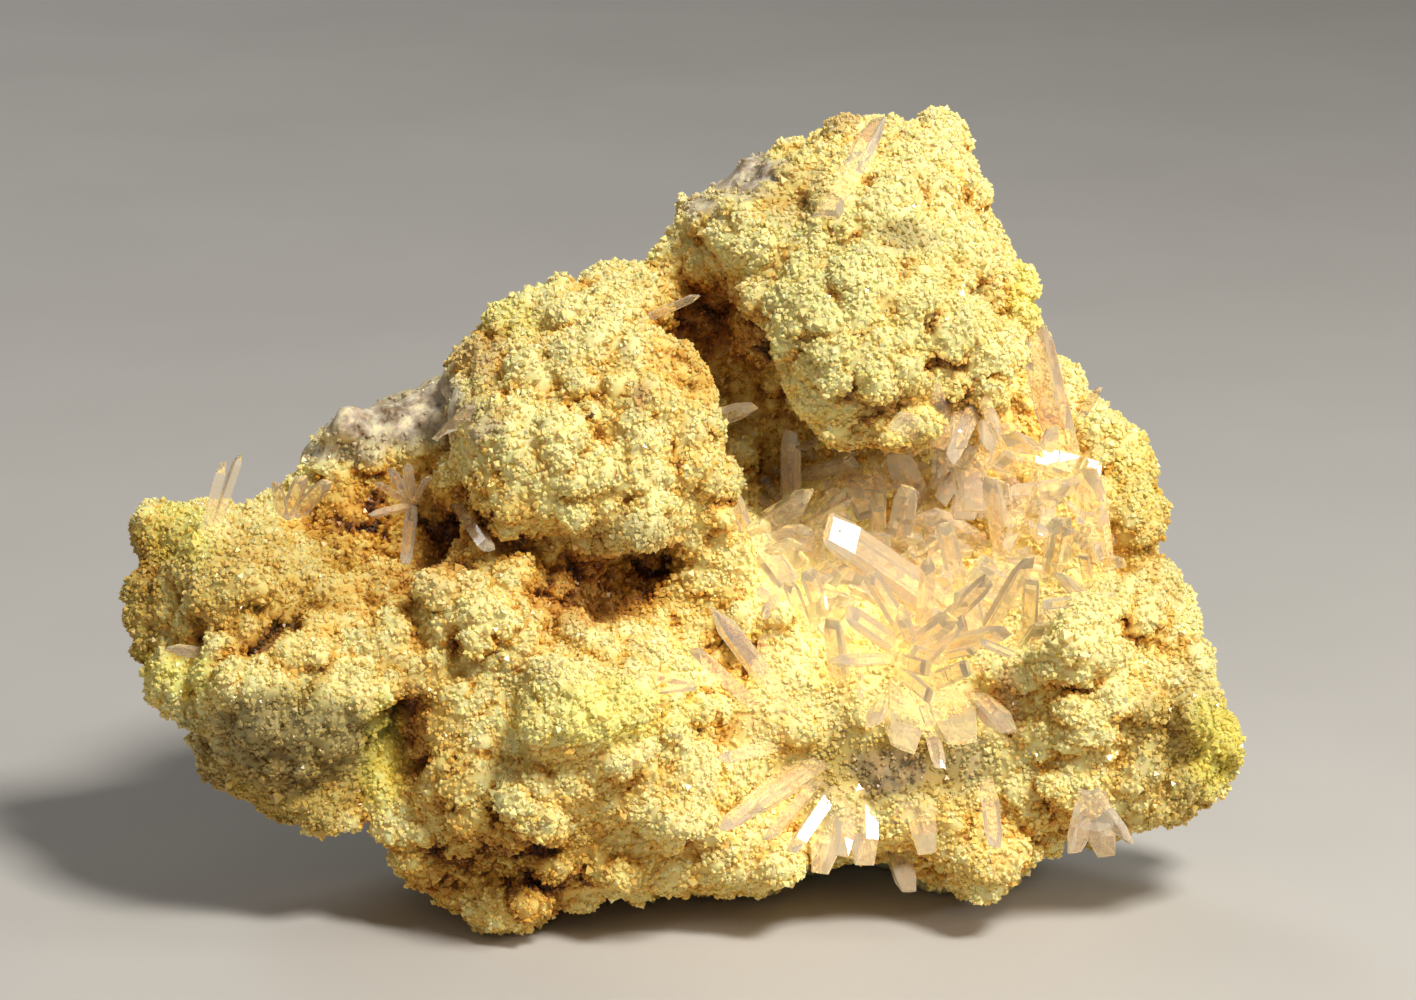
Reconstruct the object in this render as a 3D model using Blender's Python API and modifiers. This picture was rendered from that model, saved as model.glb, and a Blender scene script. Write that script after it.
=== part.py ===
"""Celestite specimen: clear crystals in a hollow of a lumpy yellow rock, which stands on its own base.

Everything is laid out on the specimen's face, in millimetres: across to the right, up from the left foot,
and out towards the viewer. The whole is then leaned back until its resting points lie in one plane.
"""

import math
import random

import bmesh
import bpy
from mathutils import Matrix, Vector
from mathutils.bvhtree import BVHTree

MM = 0.001
LEAN_DEG = 15.0
BASE_HEIGHT_MM = 1.1
GAP_MM = 0.3

ROCK_VOXEL_MM = 1.0
ROCK_FACES = 3860
SLAB_BACK_MM = -28.0
SLAB_FRONT_MM = -2.5
LUMP_CELL_MM = 7.5
LUMP_SWELL_MM = 2.4

CRUST_MM = 1.2
LINING_FACES = 360
IN_FRONT_MM = 40.0

# A crystal's shape: how deep its root goes, its sides when slender and when not, and its chisel tip.
ROOT_DEPTH_MM = 1.4
ROOT_TAPER = 1.12
SLENDER_MM = 2.1
SLENDER_SIDES = 4
BROAD_SIDES = 6
FLATNESS = {SLENDER_SIDES: 0.8, BROAD_SIDES: 0.62}
CHISEL_PER_WIDTH = 0.8
CHISEL_SHARE_OF_LENGTH = 0.3
TIP_WIDTH_SHARE = 0.85
TIP_DEPTH_SHARE = 0.25

# The rim of the rock as (across, up), clockwise from its left end.
RIM = [
    (-55.0, 35.0), (-53.5, 41.5), (-50.5, 43.7), (-46.0, 44.8), (-41.0, 46.5), (-38.0, 48.4),
    (-34.0, 51.8), (-29.5, 54.4), (-23.0, 57.0), (-20.0, 60.2), (-15.0, 63.8), (-7.5, 67.0),
    (-1.5, 68.3), (0.0, 71.6), (7.0, 77.4), (15.5, 82.0), (21.5, 84.2), (29.0, 83.6),
    (31.0, 81.6), (30.8, 76.0), (31.7, 70.5), (35.5, 64.0), (37.5, 60.0), (42.0, 54.8),
    (47.0, 49.0), (49.3, 45.8), (50.0, 41.0), (49.6, 37.0), (52.5, 31.5), (54.9, 28.0),
    (56.0, 21.5), (55.4, 16.8), (51.4, 11.6), (46.5, 9.4), (42.0, 9.8), (37.5, 9.3),
    (34.5, 6.0), (31.0, 4.4), (25.5, 6.0), (20.0, 7.6), (12.5, 6.0), (6.5, 5.0),
    (-4.0, 4.2), (-11.5, 4.2),
    (-15.0, 2.0), (-19.0, 2.0), (-22.0, 6.0), (-30.0, 12.3), (-40.5, 13.2), (-46.5, 16.8),
    (-50.5, 22.0), (-53.0, 25.5), (-53.5, 31.0),
]

# Fractures that break the slab's back down to its rim: a point, and the way the broken face looks.
BACK_FRACTURES = [
    ((0.0, 40.0, -27.0), (0.03, 0.33, -1.0)),
    ((10.0, 66.0, -19.0), (-0.12, 0.55, -1.0)),
    ((36.0, 40.0, -20.0), (0.75, 0.1, -1.0)),
    ((51.0, 30.0, -15.0), (1.3, 0.2, -1.0)),
    ((-34.0, 34.0, -20.0), (-0.62, 0.2, -1.0)),
    ((-49.0, 34.0, -12.0), (-1.4, -0.1, -1.0)),
    ((-30.0, 14.0, -20.0), (-0.5, -0.75, -1.0)),
    ((42.0, 12.0, -19.0), (0.8, -0.7, -1.0)),
]

# Lumps of the rock: centre (across, up, out), then radii in the same order.
LUMPS = [
    # Upper mass, above the hollow.
    ((17.6, 67.0, -5.0), (15.0, 15.0, 18.5)),
    ((10.8, 74.3, -3.0), (5.5, 4.8, 8.0)),
    ((3.5, 72.3, -5.0), (4.5, 4.2, 7.0)),
    ((24.0, 78.4, -3.0), (7.0, 5.4, 9.0)),
    ((20.0, 61.0, 7.0), (10.8, 9.5, 11.0)),
    ((29.0, 58.5, 6.0), (5.5, 6.5, 8.0)),
    ((12.5, 55.5, 8.0), (5.0, 4.2, 6.0)),
    ((22.5, 52.0, 11.0), (2.8, 3.8, 3.2)),
    ((4.0, 65.5, 1.5), (4.2, 4.2, 5.5)),
    ((29.0, 68.0, -2.0), (3.8, 7.5, 9.5)),
    ((11.5, 69.0, 4.0), (8.0, 7.0, 8.5)),
    ((24.0, 69.0, 6.0), (6.5, 6.0, 7.0)),
    ((34.0, 63.0, -4.0), (3.2, 5.5, 7.0)),
    ((17.5, 52.8, 7.0), (3.6, 2.8, 4.2)),
    ((29.0, 53.0, 7.0), (3.8, 2.8, 4.6)),
    # Middle dome.
    ((-8.0, 51.8, 0.0), (13.5, 13.8, 15.5)),
    ((-18.0, 58.2, 0.0), (4.0, 3.8, 6.0)),
    ((-10.5, 61.8, -1.0), (8.0, 4.4, 9.0)),
    ((-4.0, 64.8, 0.5), (4.2, 3.8, 6.5)),
    ((-2.0, 55.5, 8.0), (6.0, 6.2, 7.5)),
    ((-11.5, 46.8, 9.0), (10.5, 7.2, 9.5)),
    ((-3.5, 42.8, 9.0), (6.4, 4.4, 7.2)),
    ((3.0, 47.3, 7.5), (4.6, 3.8, 5.5)),
    ((6.5, 49.0, 10.0), (2.2, 1.7, 2.2)),
    ((-17.5, 53.3, 5.0), (5.2, 4.8, 7.0)),
    ((-19.0, 46.8, 4.0), (4.6, 5.4, 7.0)),
    # Left wing.
    ((-44.0, 33.5, -5.0), (10.5, 10.8, 12.5)),
    ((-50.5, 39.0, -4.0), (4.2, 4.8, 6.5)),
    ((-50.2, 25.3, -1.0), (3.9, 4.0, 5.5)),
    ((-37.5, 25.0, 5.5), (10.8, 6.8, 10.0)),
    ((-39.0, 17.5, 0.5), (9.0, 5.2, 8.0)),
    ((-32.5, 29.3, 4.5), (7.0, 6.6, 7.5)),
    ((-39.5, 35.0, 2.5), (6.8, 5.4, 7.0)),
    ((-44.0, 40.0, 0.0), (5.6, 4.4, 5.8)),
    ((-31.5, 17.5, 3.5), (4.4, 4.4, 5.2)),
    ((-53.2, 34.0, -5.0), (3.2, 5.4, 6.0)),
    ((-31.0, 40.0, -4.0), (9.0, 6.0, 5.5)),
    ((-33.5, 46.5, -6.0), (4.5, 3.2, 5.5)),
    ((-27.5, 50.0, -5.5), (4.5, 3.8, 5.5)),
    ((-24.0, 43.5, -2.5), (4.0, 4.2, 4.5)),
    # Lower middle, down to the left foot.
    ((-11.5, 25.0, 0.0), (17.5, 13.0, 15.5)),
    ((-19.5, 34.3, 6.0), (7.0, 5.2, 7.5)),
    ((-24.5, 28.0, 4.0), (7.5, 6.6, 8.5)),
    ((-7.5, 22.0, 9.5), (10.5, 8.4, 10.0)),
    ((0.5, 16.0, 5.0), (6.5, 6.0, 8.0)),
    ((-17.5, 17.0, 4.5), (8.5, 7.0, 9.0)),
    ((-11.5, 30.0, 8.0), (7.5, 4.4, 7.0)),
    ((-27.5, 34.0, 0.0), (5.4, 4.6, 6.0)),
    ((-1.5, 25.0, 7.5), (5.0, 5.4, 6.8)),
    ((-17.0, 6.8, -1.0), (6.2, 6.2, 9.5)),
    ((-6.0, 8.6, 0.0), (9.5, 5.2, 11.0)),
    ((6.5, 9.2, -2.0), (9.0, 5.2, 10.5)),
    ((-23.5, 11.0, -2.5), (6.4, 5.8, 9.0)),
    ((-11.5, 13.5, 4.5), (9.5, 6.0, 9.5)),
    # Right-hand lump and the right foot.
    ((41.0, 25.3, 0.0), (12.3, 10.6, 12.8)),
    ((38.0, 29.5, 6.5), (6.8, 5.6, 8.0)),
    ((45.5, 31.5, 2.5), (5.8, 4.8, 6.8)),
    ((48.6, 19.2, -2.0), (6.8, 8.0, 8.5)),
    ((41.0, 16.4, 2.5), (6.8, 5.6, 7.5)),
    ((29.8, 10.4, -2.5), (6.8, 6.6, 9.5)),
    ((25.5, 10.0, -5.0), (4.2, 3.8, 7.0)),
    ((29.0, 10.6, -13.5), (7.5, 6.4, 8.0)),
    ((33.5, 17.5, -2.0), (7.5, 7.0, 9.5)),
    # The hollow's surround, its sill and the strip below it.
    ((19.5, 15.0, -3.5), (10.5, 6.5, 10.0)),
    ((4.0, 39.0, 0.0), (4.6, 6.5, 7.5)),
    ((9.0, 32.5, -3.0), (6.0, 5.5, 7.5)),
    ((22.5, 22.8, -2.5), (10.5, 7.4, 9.5)),
    ((8.0, 22.5, -2.0), (8.0, 7.5, 9.5)),
    ((45.4, 43.0, -5.5), (4.2, 8.6, 6.5)),
    ((40.6, 52.4, -6.0), (3.4, 4.8, 6.0)),
]

# Hollows, cut after the lumps are joined: centre and radii as above. The first holds the crystals.
HOLLOWS = [
    ((25.0, 38.5, 8.0), (17.5, 12.5, 17.0)),
    ((10.0, 49.0, 5.0), (5.0, 5.0, 11.0)),
    ((3.6, 60.6, 6.5), (3.2, 6.5, 13.0)),
    ((6.8, 55.0, 5.0), (4.4, 3.8, 11.0)),
    ((-6.5, 35.4, 12.0), (7.0, 2.4, 8.5)),
    ((-29.0, 43.5, 8.0), (8.5, 5.2, 10.5)),
    ((-27.0, 20.5, 10.0), (2.4, 5.5, 6.5)),
    ((32.0, 20.5, 10.0), (2.4, 5.5, 5.5)),
]

# Crystals that grow from the hollow and over its sill, as ((root across, up), (tip across, up, out), width).
# The first six are the bright one and the large ones beside it, then come the roof, the walls and the spray.
HOLLOW_CRYSTALS = [
    ((28.5, 32.3), (15.3, 41.3, 12.0), 3.2),
    ((39.3, 47.3), (35.5, 62.8, 1.5), 4.0),
    ((42.5, 35.8), (41.0, 47.5, 3.5), 3.6),
    ((39.6, 45.3), (33.0, 51.0, 4.5), 3.0),
    ((29.5, 28.3), (34.7, 38.7, 11.0), 2.4),
    ((21.8, 35.3), (23.0, 45.6, 7.0), 2.6),
    ((11.7, 42.3), (11.5, 51.2, 2.5), 2.2),
    ((5.5, 44.8), (9.8, 48.7, 11.0), 1.7),
    ((8.7, 35.8), (4.6, 47.7, 10.0), 2.2),
    ((13.1, 45.8), (18.0, 49.1, 1.0), 1.0),
    ((13.7, 46.7), (22.7, 45.7, 0.5), 1.5),
    ((10.8, 40.3), (17.3, 44.3, 6.5), 1.4),
    ((11.2, 41.0), (11.7, 43.5, 5.0), 2.2),
    ((25.0, 43.3), (21.8, 49.1, 4.5), 3.2),
    ((26.7, 43.3), (26.6, 49.6, 3.0), 1.9),
    ((30.0, 46.0), (28.0, 51.8, 2.0), 2.6),
    ((32.5, 46.5), (30.7, 52.0, 2.0), 2.6),
    ((29.0, 34.3), (26.5, 42.0, 8.0), 1.8),
    ((35.5, 41.0), (37.5, 51.5, 3.0), 2.4),
    ((33.5, 37.0), (31.2, 46.5, 6.0), 2.2),
    ((37.5, 35.0), (38.3, 42.5, 7.0), 2.6),
    ((14.0, 29.3), (11.2, 36.3, 10.5), 1.6),
    ((15.7, 30.3), (13.0, 37.5, 10.5), 1.8),
    ((16.5, 25.3), (15.4, 32.7, 12.0), 2.2),
    ((12.0, 22.8), (3.7, 33.7, 12.0), 3.2),
    ((8.5, 23.3), (1.9, 29.8, 13.0), 2.0),
    ((5.0, 27.5), (-2.7, 34.3, 10.0), 3.4),
    ((10.5, 20.1), (4.5, 19.1, 13.5), 1.9),
    ((14.0, 19.5), (1.8, 10.1, 11.0), 1.8),
    ((15.5, 19.3), (4.5, 12.3, 12.5), 2.2),
    ((16.0, 18.8), (7.5, 13.8, 12.0), 2.0),
    ((15.5, 17.8), (9.0, 11.1, 10.5), 1.8),
    ((16.5, 16.8), (11.5, 9.8, 9.0), 1.8),
    ((16.2, 15.5), (14.3, 7.6, 8.0), 3.0),
    ((18.5, 15.0), (18.7, 8.4, 8.0), 3.2),
    ((17.0, 16.2), (16.4, 9.5, 10.5), 2.2),
    ((24.0, 16.5), (24.8, 9.6, 8.5), 3.0),
    ((22.5, 28.3), (19.3, 22.3, 12.0), 2.2),
    ((22.8, 27.8), (22.3, 20.1, 13.0), 4.2),
    ((25.5, 28.3), (28.0, 20.8, 13.5), 5.0),
    ((27.5, 27.8), (32.5, 21.8, 13.0), 3.2),
    ((24.5, 25.3), (26.0, 18.1, 11.0), 1.6),
]

# The fan that rises from the sill: tips as (across, up, out) and widths, all from near one root.
FAN_ROOT = (23.5, 28.5)
FAN_SPREAD_MM = 1.6
FAN_TIPS = [
    ((16.8, 33.4, 12.0), 2.2),
    ((19.0, 37.2, 11.5), 1.8),
    ((22.0, 33.4, 14.5), 2.4),
    ((24.8, 38.6, 12.0), 2.0),
    ((27.0, 33.0, 14.0), 2.4),
    ((30.8, 36.6, 11.0), 1.8),
    ((32.6, 31.6, 11.5), 2.2),
    ((15.4, 28.6, 13.5), 2.2),
]

# Small crystals between the large ones: how many, and the ellipse of the face that their roots lie in.
FILL_SEED = 11
FILL_COUNT = 40
FILL_CENTRE = (25.5, 39.5)
FILL_RADII = (15.5, 11.5)
FILL_FOCUS = (24.5, 37.0, 24.0)
FILL_START_MM = 11.0
FILL_LENGTHS_MM = (3.5, 7.0)
FILL_WIDTHS_MM = (1.3, 2.3)
FILL_LEAN_SIDEWAYS = 0.55
FILL_LEAN_OUTWARDS = 0.25

# Where the crust lines the rock: the hollow, and the sill below it, as centres and radii.
CRUST_REGION = [
    ((25.5, 38.5, 4.0), (18.0, 13.0, 16.0)),
    ((18.5, 20.5, 3.0), (12.5, 10.0, 14.0)),
]
REGION_FACES = 400

# Crystals away from the hollow, each entry one node: (root, tip, width) as above.
LOOSE_CRYSTALS = {
    "left_twin_crystals": [
        ((-47.0, 38.8), (-44.3, 48.0, 8.5), 1.6),
        ((-46.2, 39.4), (-42.8, 48.8, 7.0), 1.3),
    ],
    "left_edge_crystal": [
        ((-45.6, 29.1), (-49.8, 29.8, 9.0), 1.5),
    ],
    "left_slope_crystals": [
        ((-38.8, 42.6), (-36.9, 46.6, 5.0), 1.8),
        ((-38.0, 42.8), (-34.4, 46.2, 4.5), 1.8),
        ((-39.2, 42.4), (-39.4, 46.0, 5.0), 1.4),
    ],
    "slope_spray": [
        ((-26.3, 43.8), (-30.2, 42.8, 4.0), 1.1),
        ((-26.3, 43.8), (-29.6, 46.0, 4.0), 1.0),
        ((-26.3, 43.8), (-28.2, 47.4, 4.5), 1.1),
        ((-26.3, 43.8), (-26.4, 47.8, 5.0), 1.0),
        ((-26.3, 43.8), (-24.4, 46.6, 5.5), 1.1),
        ((-26.3, 43.8), (-26.6, 38.0, 5.5), 1.2),
    ],
    "ledge_crystal": [
        ((-21.4, 44.0), (-17.9, 39.4, 14.5), 1.7),
    ],
    "shoulder_crystal": [
        ((-22.4, 51.0), (-19.6, 53.4, 13.0), 2.0),
    ],
    "cleft_crystals": [
        ((-2.6, 62.3), (2.4, 64.4, 8.5), 1.1),
        ((-2.8, 62.0), (1.2, 58.8, 9.5), 1.0),
    ],
    "cleft_blade": [
        ((4.0, 52.3), (7.8, 53.6, 9.0), 2.2),
    ],
    "upper_lump_crystal": [
        ((15.4, 73.0), (20.2, 82.0, 5.5), 2.9),
    ],
    "flange_crystal": [
        ((40.9, 53.0), (42.2, 55.4, 3.0), 1.3),
    ],
    "stub_crystals": [
        ((0.4, 26.6), (-3.6, 27.5, 16.0), 1.6),
        ((0.6, 25.9), (-3.2, 25.4, 16.5), 1.5),
    ],
    "lower_right_crystal": [
        ((31.0, 16.4), (31.4, 10.3, 9.5), 2.0),
    ],
    "right_edge_crystals": [
        ((40.6, 14.6), (39.4, 9.6, 7.0), 2.8),
        ((41.2, 14.2), (42.6, 9.2, 6.5), 3.0),
        ((41.6, 14.8), (44.8, 10.6, 7.5), 2.4),
    ],
    "foot_crystal": [
        ((22.2, 9.2), (23.2, 5.6, 5.0), 2.4),
    ],
}

COLOURS = {
    "matrix": (0.80, 0.66, 0.28, 1.0),
    "crystal": (0.90, 0.84, 0.78, 1.0),
}


def placed(across, up, out):
    """A point of the specimen's face, in metres, before the rock leans back."""
    return Vector((across, -out, up)) * MM


def new_collection(name):
    collection = bpy.data.collections.new(name)
    bpy.context.scene.collection.children.link(collection)
    return collection


def new_object(name, bm, collection):
    """A new object from a bmesh, which is freed."""
    mesh = bpy.data.meshes.new(name)
    bm.to_mesh(mesh)
    bm.free()
    obj = bpy.data.objects.new(name, mesh)
    collection.objects.link(obj)
    return obj


def evaluated_mesh(obj):
    """The object's mesh with its modifiers applied."""
    bpy.context.view_layer.update()
    graph = bpy.context.evaluated_depsgraph_get()
    return bpy.data.meshes.new_from_object(obj.evaluated_get(graph))


def apply_modifiers(obj):
    mesh = evaluated_mesh(obj)
    obj.modifiers.clear()
    old = obj.data
    obj.data = mesh
    bpy.data.meshes.remove(old)


def remesh(obj):
    """One skin around everything in the object."""
    modifier = obj.modifiers.new("one skin", "REMESH")
    modifier.mode = "VOXEL"
    modifier.voxel_size = ROCK_VOXEL_MM * MM
    apply_modifiers(obj)


def combine(obj, others, operation):
    """The Boolean of an object with each of the others, left in the first."""
    for other in others:
        modifier = obj.modifiers.new(operation.lower(), "BOOLEAN")
        modifier.operation = operation
        modifier.object = other
    apply_modifiers(obj)


def hide_cutter(obj):
    obj.hide_render = True
    obj.display_type = "WIRE"


def show_part(obj, collection):
    """Makes a copy of a cutter a piece of the specimen, with a mesh of its own."""
    obj.data = obj.data.copy()
    obj.hide_render = False
    obj.display_type = "TEXTURED"
    collection.objects.link(obj)


def add_ellipsoid(bm, centre, radii, subdivisions=3):
    """One lump, added to a bmesh as an ico sphere stretched along the face's axes."""
    stretch = Matrix.Diagonal((radii[0] * MM, radii[2] * MM, radii[1] * MM, 1.0))
    bmesh.ops.create_icosphere(
        bm,
        subdivisions=subdivisions,
        radius=1.0,
        matrix=Matrix.Translation(placed(*centre)) @ stretch,
    )


def cut_flat(bm, point, facing):
    """Removes what lies beyond a plane and closes the cut."""
    geometry = bm.verts[:] + bm.edges[:] + bm.faces[:]
    cut = bmesh.ops.bisect_plane(bm, geom=geometry, plane_co=point, plane_no=facing, clear_outer=True)
    edges = [item for item in cut["geom_cut"] if isinstance(item, bmesh.types.BMEdge)]
    bmesh.ops.holes_fill(bm, edges=edges)


def rim_slab(collection):
    """The flat body behind the lumps: the rim's outline extruded."""
    outline = bpy.data.curves.new("slab_outline", "CURVE")
    outline.dimensions = "2D"
    outline.fill_mode = "BOTH"
    outline.extrude = (SLAB_FRONT_MM - SLAB_BACK_MM) / 2 * MM
    spline = outline.splines.new("POLY")
    spline.points.add(len(RIM) - 1)
    for point, (across, up) in zip(spline.points, RIM):
        point.co = (across * MM, up * MM, 0.0, 1.0)
    spline.use_cyclic_u = True
    curve = bpy.data.objects.new("slab_outline", outline)
    collection.objects.link(curve)
    mesh = evaluated_mesh(curve)
    bpy.data.objects.remove(curve)

    slab = bmesh.new()
    slab.from_mesh(mesh)
    bpy.data.meshes.remove(mesh)
    middle = -(SLAB_FRONT_MM + SLAB_BACK_MM) / 2 * MM
    slab.transform(Matrix.Translation((0, middle, 0)) @ Matrix.Rotation(math.radians(90), 4, "X"))
    bmesh.ops.remove_doubles(slab, verts=slab.verts, dist=1e-6)
    return slab


def break_back(rock):
    bm = bmesh.new()
    bm.from_mesh(rock.data)
    for point, facing in BACK_FRACTURES:
        cut_flat(bm, placed(*point), placed(*facing).normalized())
    bmesh.ops.triangulate(bm, faces=bm.faces)
    bm.to_mesh(rock.data)
    bm.free()


def druse_weight(point):
    """1 on the front and the rim, falling to nearly nothing on the broken back."""
    depth_behind_face = (point.y - 8.0 * MM) / (6.0 * MM)
    return max(0.1, min(1.0, 1.0 - depth_behind_face))


def swell_into_lumps(rock):
    """Round swellings with creases between them, on the druse alone."""
    group = rock.vertex_groups.new(name="druse")
    for vertex in rock.data.vertices:
        group.add([vertex.index], druse_weight(vertex.co), "REPLACE")
    texture = bpy.data.textures.new("cauliflower", "VORONOI")
    texture.noise_scale = LUMP_CELL_MM * MM
    smooth = rock.modifiers.new("soften the joins", "SMOOTH")
    smooth.iterations = 4
    swell = rock.modifiers.new("lumps", "DISPLACE")
    swell.texture = texture
    swell.texture_coords = "LOCAL"
    swell.vertex_group = "druse"
    swell.mid_level = 0.45
    swell.strength = -LUMP_SWELL_MM * MM
    apply_modifiers(rock)


def reduce_faces(obj, triangles_wanted):
    triangles = sum(len(face.vertices) - 2 for face in obj.data.polygons)
    modifier = obj.modifiers.new("fewer faces", "DECIMATE")
    modifier.ratio = triangles_wanted / triangles
    apply_modifiers(obj)


def build_rock(collection, cutters):
    body = rim_slab(cutters)
    for centre, radii in LUMPS:
        add_ellipsoid(body, centre, radii)
    rock = new_object("matrix", body, collection)
    remesh(rock)
    break_back(rock)

    cavities = bmesh.new()
    for centre, radii in HOLLOWS:
        add_ellipsoid(cavities, centre, radii)
    hollows = new_object("hollows", cavities, cutters)
    remesh(hollows)
    hide_cutter(hollows)
    combine(rock, [hollows], "DIFFERENCE")
    remesh(rock)
    swell_into_lumps(rock)
    remesh(rock)
    reduce_faces(rock, ROCK_FACES)
    return rock


def rock_layer(rock, height_mm, cutters):
    """A copy of the rock, grown outwards by a height."""
    layer = rock.copy()
    layer.data = rock.data.copy()
    layer.name = "rock_layer"
    cutters.objects.link(layer)
    grow = layer.modifiers.new("grow", "DISPLACE")
    grow.mid_level = 0.0
    grow.strength = height_mm * MM
    apply_modifiers(layer)
    hide_cutter(layer)
    return layer


def rock_surface(tree, across, up, start_mm=IN_FRONT_MM):
    """Where a line of sight at this place of the face meets the rock."""
    hit = tree.ray_cast(placed(across, up, start_mm), Vector((0, 1, 0)))[0]
    return hit


def new_crystal(collection, root, tip, width_mm, roll_deg):
    """A flat prism with a chisel tip, from inside the rock at its root to its tip."""
    sides = BROAD_SIDES if width_mm > SLENDER_MM else SLENDER_SIDES
    bm = bmesh.new()
    axis = tip - root
    start = root - axis.normalized() * ROOT_DEPTH_MM * MM
    length = (tip - start).length
    width = width_mm * MM
    depth = width * FLATNESS[sides]
    chisel = min(CHISEL_PER_WIDTH * width, CHISEL_SHARE_OF_LENGTH * length)
    bmesh.ops.create_cone(
        bm, cap_ends=True, segments=sides, radius1=0.5 * ROOT_TAPER, radius2=0.5, depth=1.0
    )
    top_face = max(bm.faces, key=lambda face: face.calc_center_median().z)
    bmesh.ops.inset_region(bm, faces=[top_face], thickness=0.1)
    tip_verts = set(top_face.verts)
    for vert in set(bm.verts) - tip_verts:
        shoulder = length - chisel if vert.co.z > 0 else 0.0
        vert.co = Vector((vert.co.x * width, vert.co.y * depth, shoulder))
    for vert in tip_verts:
        vert.co = Vector((vert.co.x * width * TIP_WIDTH_SHARE, vert.co.y * depth * TIP_DEPTH_SHARE, length))
    turn = axis.to_track_quat("Z", "Y").to_matrix().to_4x4()
    place = Matrix.Translation(start) @ turn @ Matrix.Rotation(math.radians(roll_deg), 4, "Z")
    bm.transform(place)
    crystal = new_object("crystal", bm, collection)
    hide_cutter(crystal)
    return crystal


def keep_largest_body(obj):
    """Removes what the rock has cut off from the main body."""
    bm = bmesh.new()
    bm.from_mesh(obj.data)
    bmesh.ops.triangulate(bm, faces=bm.faces)
    unseen = set(bm.verts)
    bodies = []
    while unseen:
        seed = unseen.pop()
        body = {seed}
        edge_of_search = [seed]
        while edge_of_search:
            vert = edge_of_search.pop()
            for edge in vert.link_edges:
                other = edge.other_vert(vert)
                if other in unseen:
                    unseen.remove(other)
                    body.add(other)
                    edge_of_search.append(other)
        bodies.append(body)
    bodies.sort(key=len, reverse=True)
    for body in bodies[1:]:
        bmesh.ops.delete(bm, geom=list(body), context="VERTS")
    bm.to_mesh(obj.data)
    bm.free()


def crystal_node(name, crystals, tree, skin, collection, cutters):
    """Crystals that grow together, joined in one solid and fitted to the rock."""
    draw = random.Random(name)
    made = []
    for (across, up), tip, width in crystals:
        root = rock_surface(tree, across, up)
        made.append(new_crystal(cutters, root, placed(*tip), width, draw.uniform(-25, 25)))
    node = made[0].copy()
    node.name = name
    show_part(node, collection)
    combine(node, made[1:], "UNION")
    combine(node, [skin], "DIFFERENCE")
    keep_largest_body(node)
    return node


def fill_crystals(tree, cutters):
    """Small crystals all over the hollow, which lean towards its mouth."""
    draw = random.Random(FILL_SEED)
    focus = placed(*FILL_FOCUS)
    made = []
    for _ in range(FILL_COUNT):
        angle = draw.uniform(0, 2 * math.pi)
        reach = math.sqrt(draw.random())
        across = FILL_CENTRE[0] + FILL_RADII[0] * reach * math.cos(angle)
        up = FILL_CENTRE[1] + FILL_RADII[1] * reach * math.sin(angle)
        root = rock_surface(tree, across, up, FILL_START_MM)
        spreads = (FILL_LEAN_SIDEWAYS, FILL_LEAN_OUTWARDS, FILL_LEAN_SIDEWAYS)
        lean = Vector([draw.gauss(0, spread) for spread in spreads])
        heading = ((focus - root).normalized() + lean).normalized()
        length = draw.uniform(*FILL_LENGTHS_MM)
        width = draw.uniform(*FILL_WIDTHS_MM)
        tip = root + heading * length * MM
        made.append(new_crystal(cutters, root, tip, width, draw.uniform(0, 180)))
    return made


def hollow_region(cutters):
    """The space in which the crust lines the rock: the hollow and the sill below it."""
    bm = bmesh.new()
    for centre, radii in CRUST_REGION:
        add_ellipsoid(bm, centre, radii)
    region = new_object("hollow_region", bm, cutters)
    hide_cutter(region)
    remesh(region)
    reduce_faces(region, REGION_FACES)
    return region


def build_crust(rock, tree, skin, collection, cutters):
    """The hollow's crystals, grown into one crust that lines it."""
    lining = rock_layer(rock, CRUST_MM, cutters)
    region = hollow_region(cutters)
    crust = lining.copy()
    crust.name = "hollow_crystal_crust"
    show_part(crust, collection)
    combine(crust, [region], "INTERSECT")
    reduce_faces(crust, LINING_FACES)

    draw = random.Random("crust")
    crystals = []
    for (across, up), tip, width in HOLLOW_CRYSTALS:
        root = rock_surface(tree, across, up)
        crystals.append(new_crystal(cutters, root, placed(*tip), width, draw.uniform(-30, 30)))
    for tip, width in FAN_TIPS:
        across = FAN_ROOT[0] + draw.uniform(-FAN_SPREAD_MM, FAN_SPREAD_MM)
        root = rock_surface(tree, across, FAN_ROOT[1])
        crystals.append(new_crystal(cutters, root, placed(*tip), width, draw.uniform(0, 180)))
    crystals += fill_crystals(tree, cutters)
    combine(crust, crystals, "UNION")
    combine(crust, [skin], "DIFFERENCE")
    keep_largest_body(crust)
    return crust


def give_material(obj, kind):
    material = bpy.data.materials.get(kind)
    if material is None:
        material = bpy.data.materials.new(kind)
        material.use_nodes = True
        shader = material.node_tree.nodes["Principled BSDF"]
        shader.inputs["Base Color"].default_value = COLOURS[kind]
        shader.inputs["Metallic"].default_value = 0.0
        shader.inputs["Roughness"].default_value = 0.85
        if kind == "crystal":
            shader.inputs["Roughness"].default_value = 0.05
            shader.inputs["Transmission Weight"].default_value = 1.0
            shader.inputs["IOR"].default_value = 1.62
    obj.data.materials.clear()
    obj.data.materials.append(material)


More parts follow.
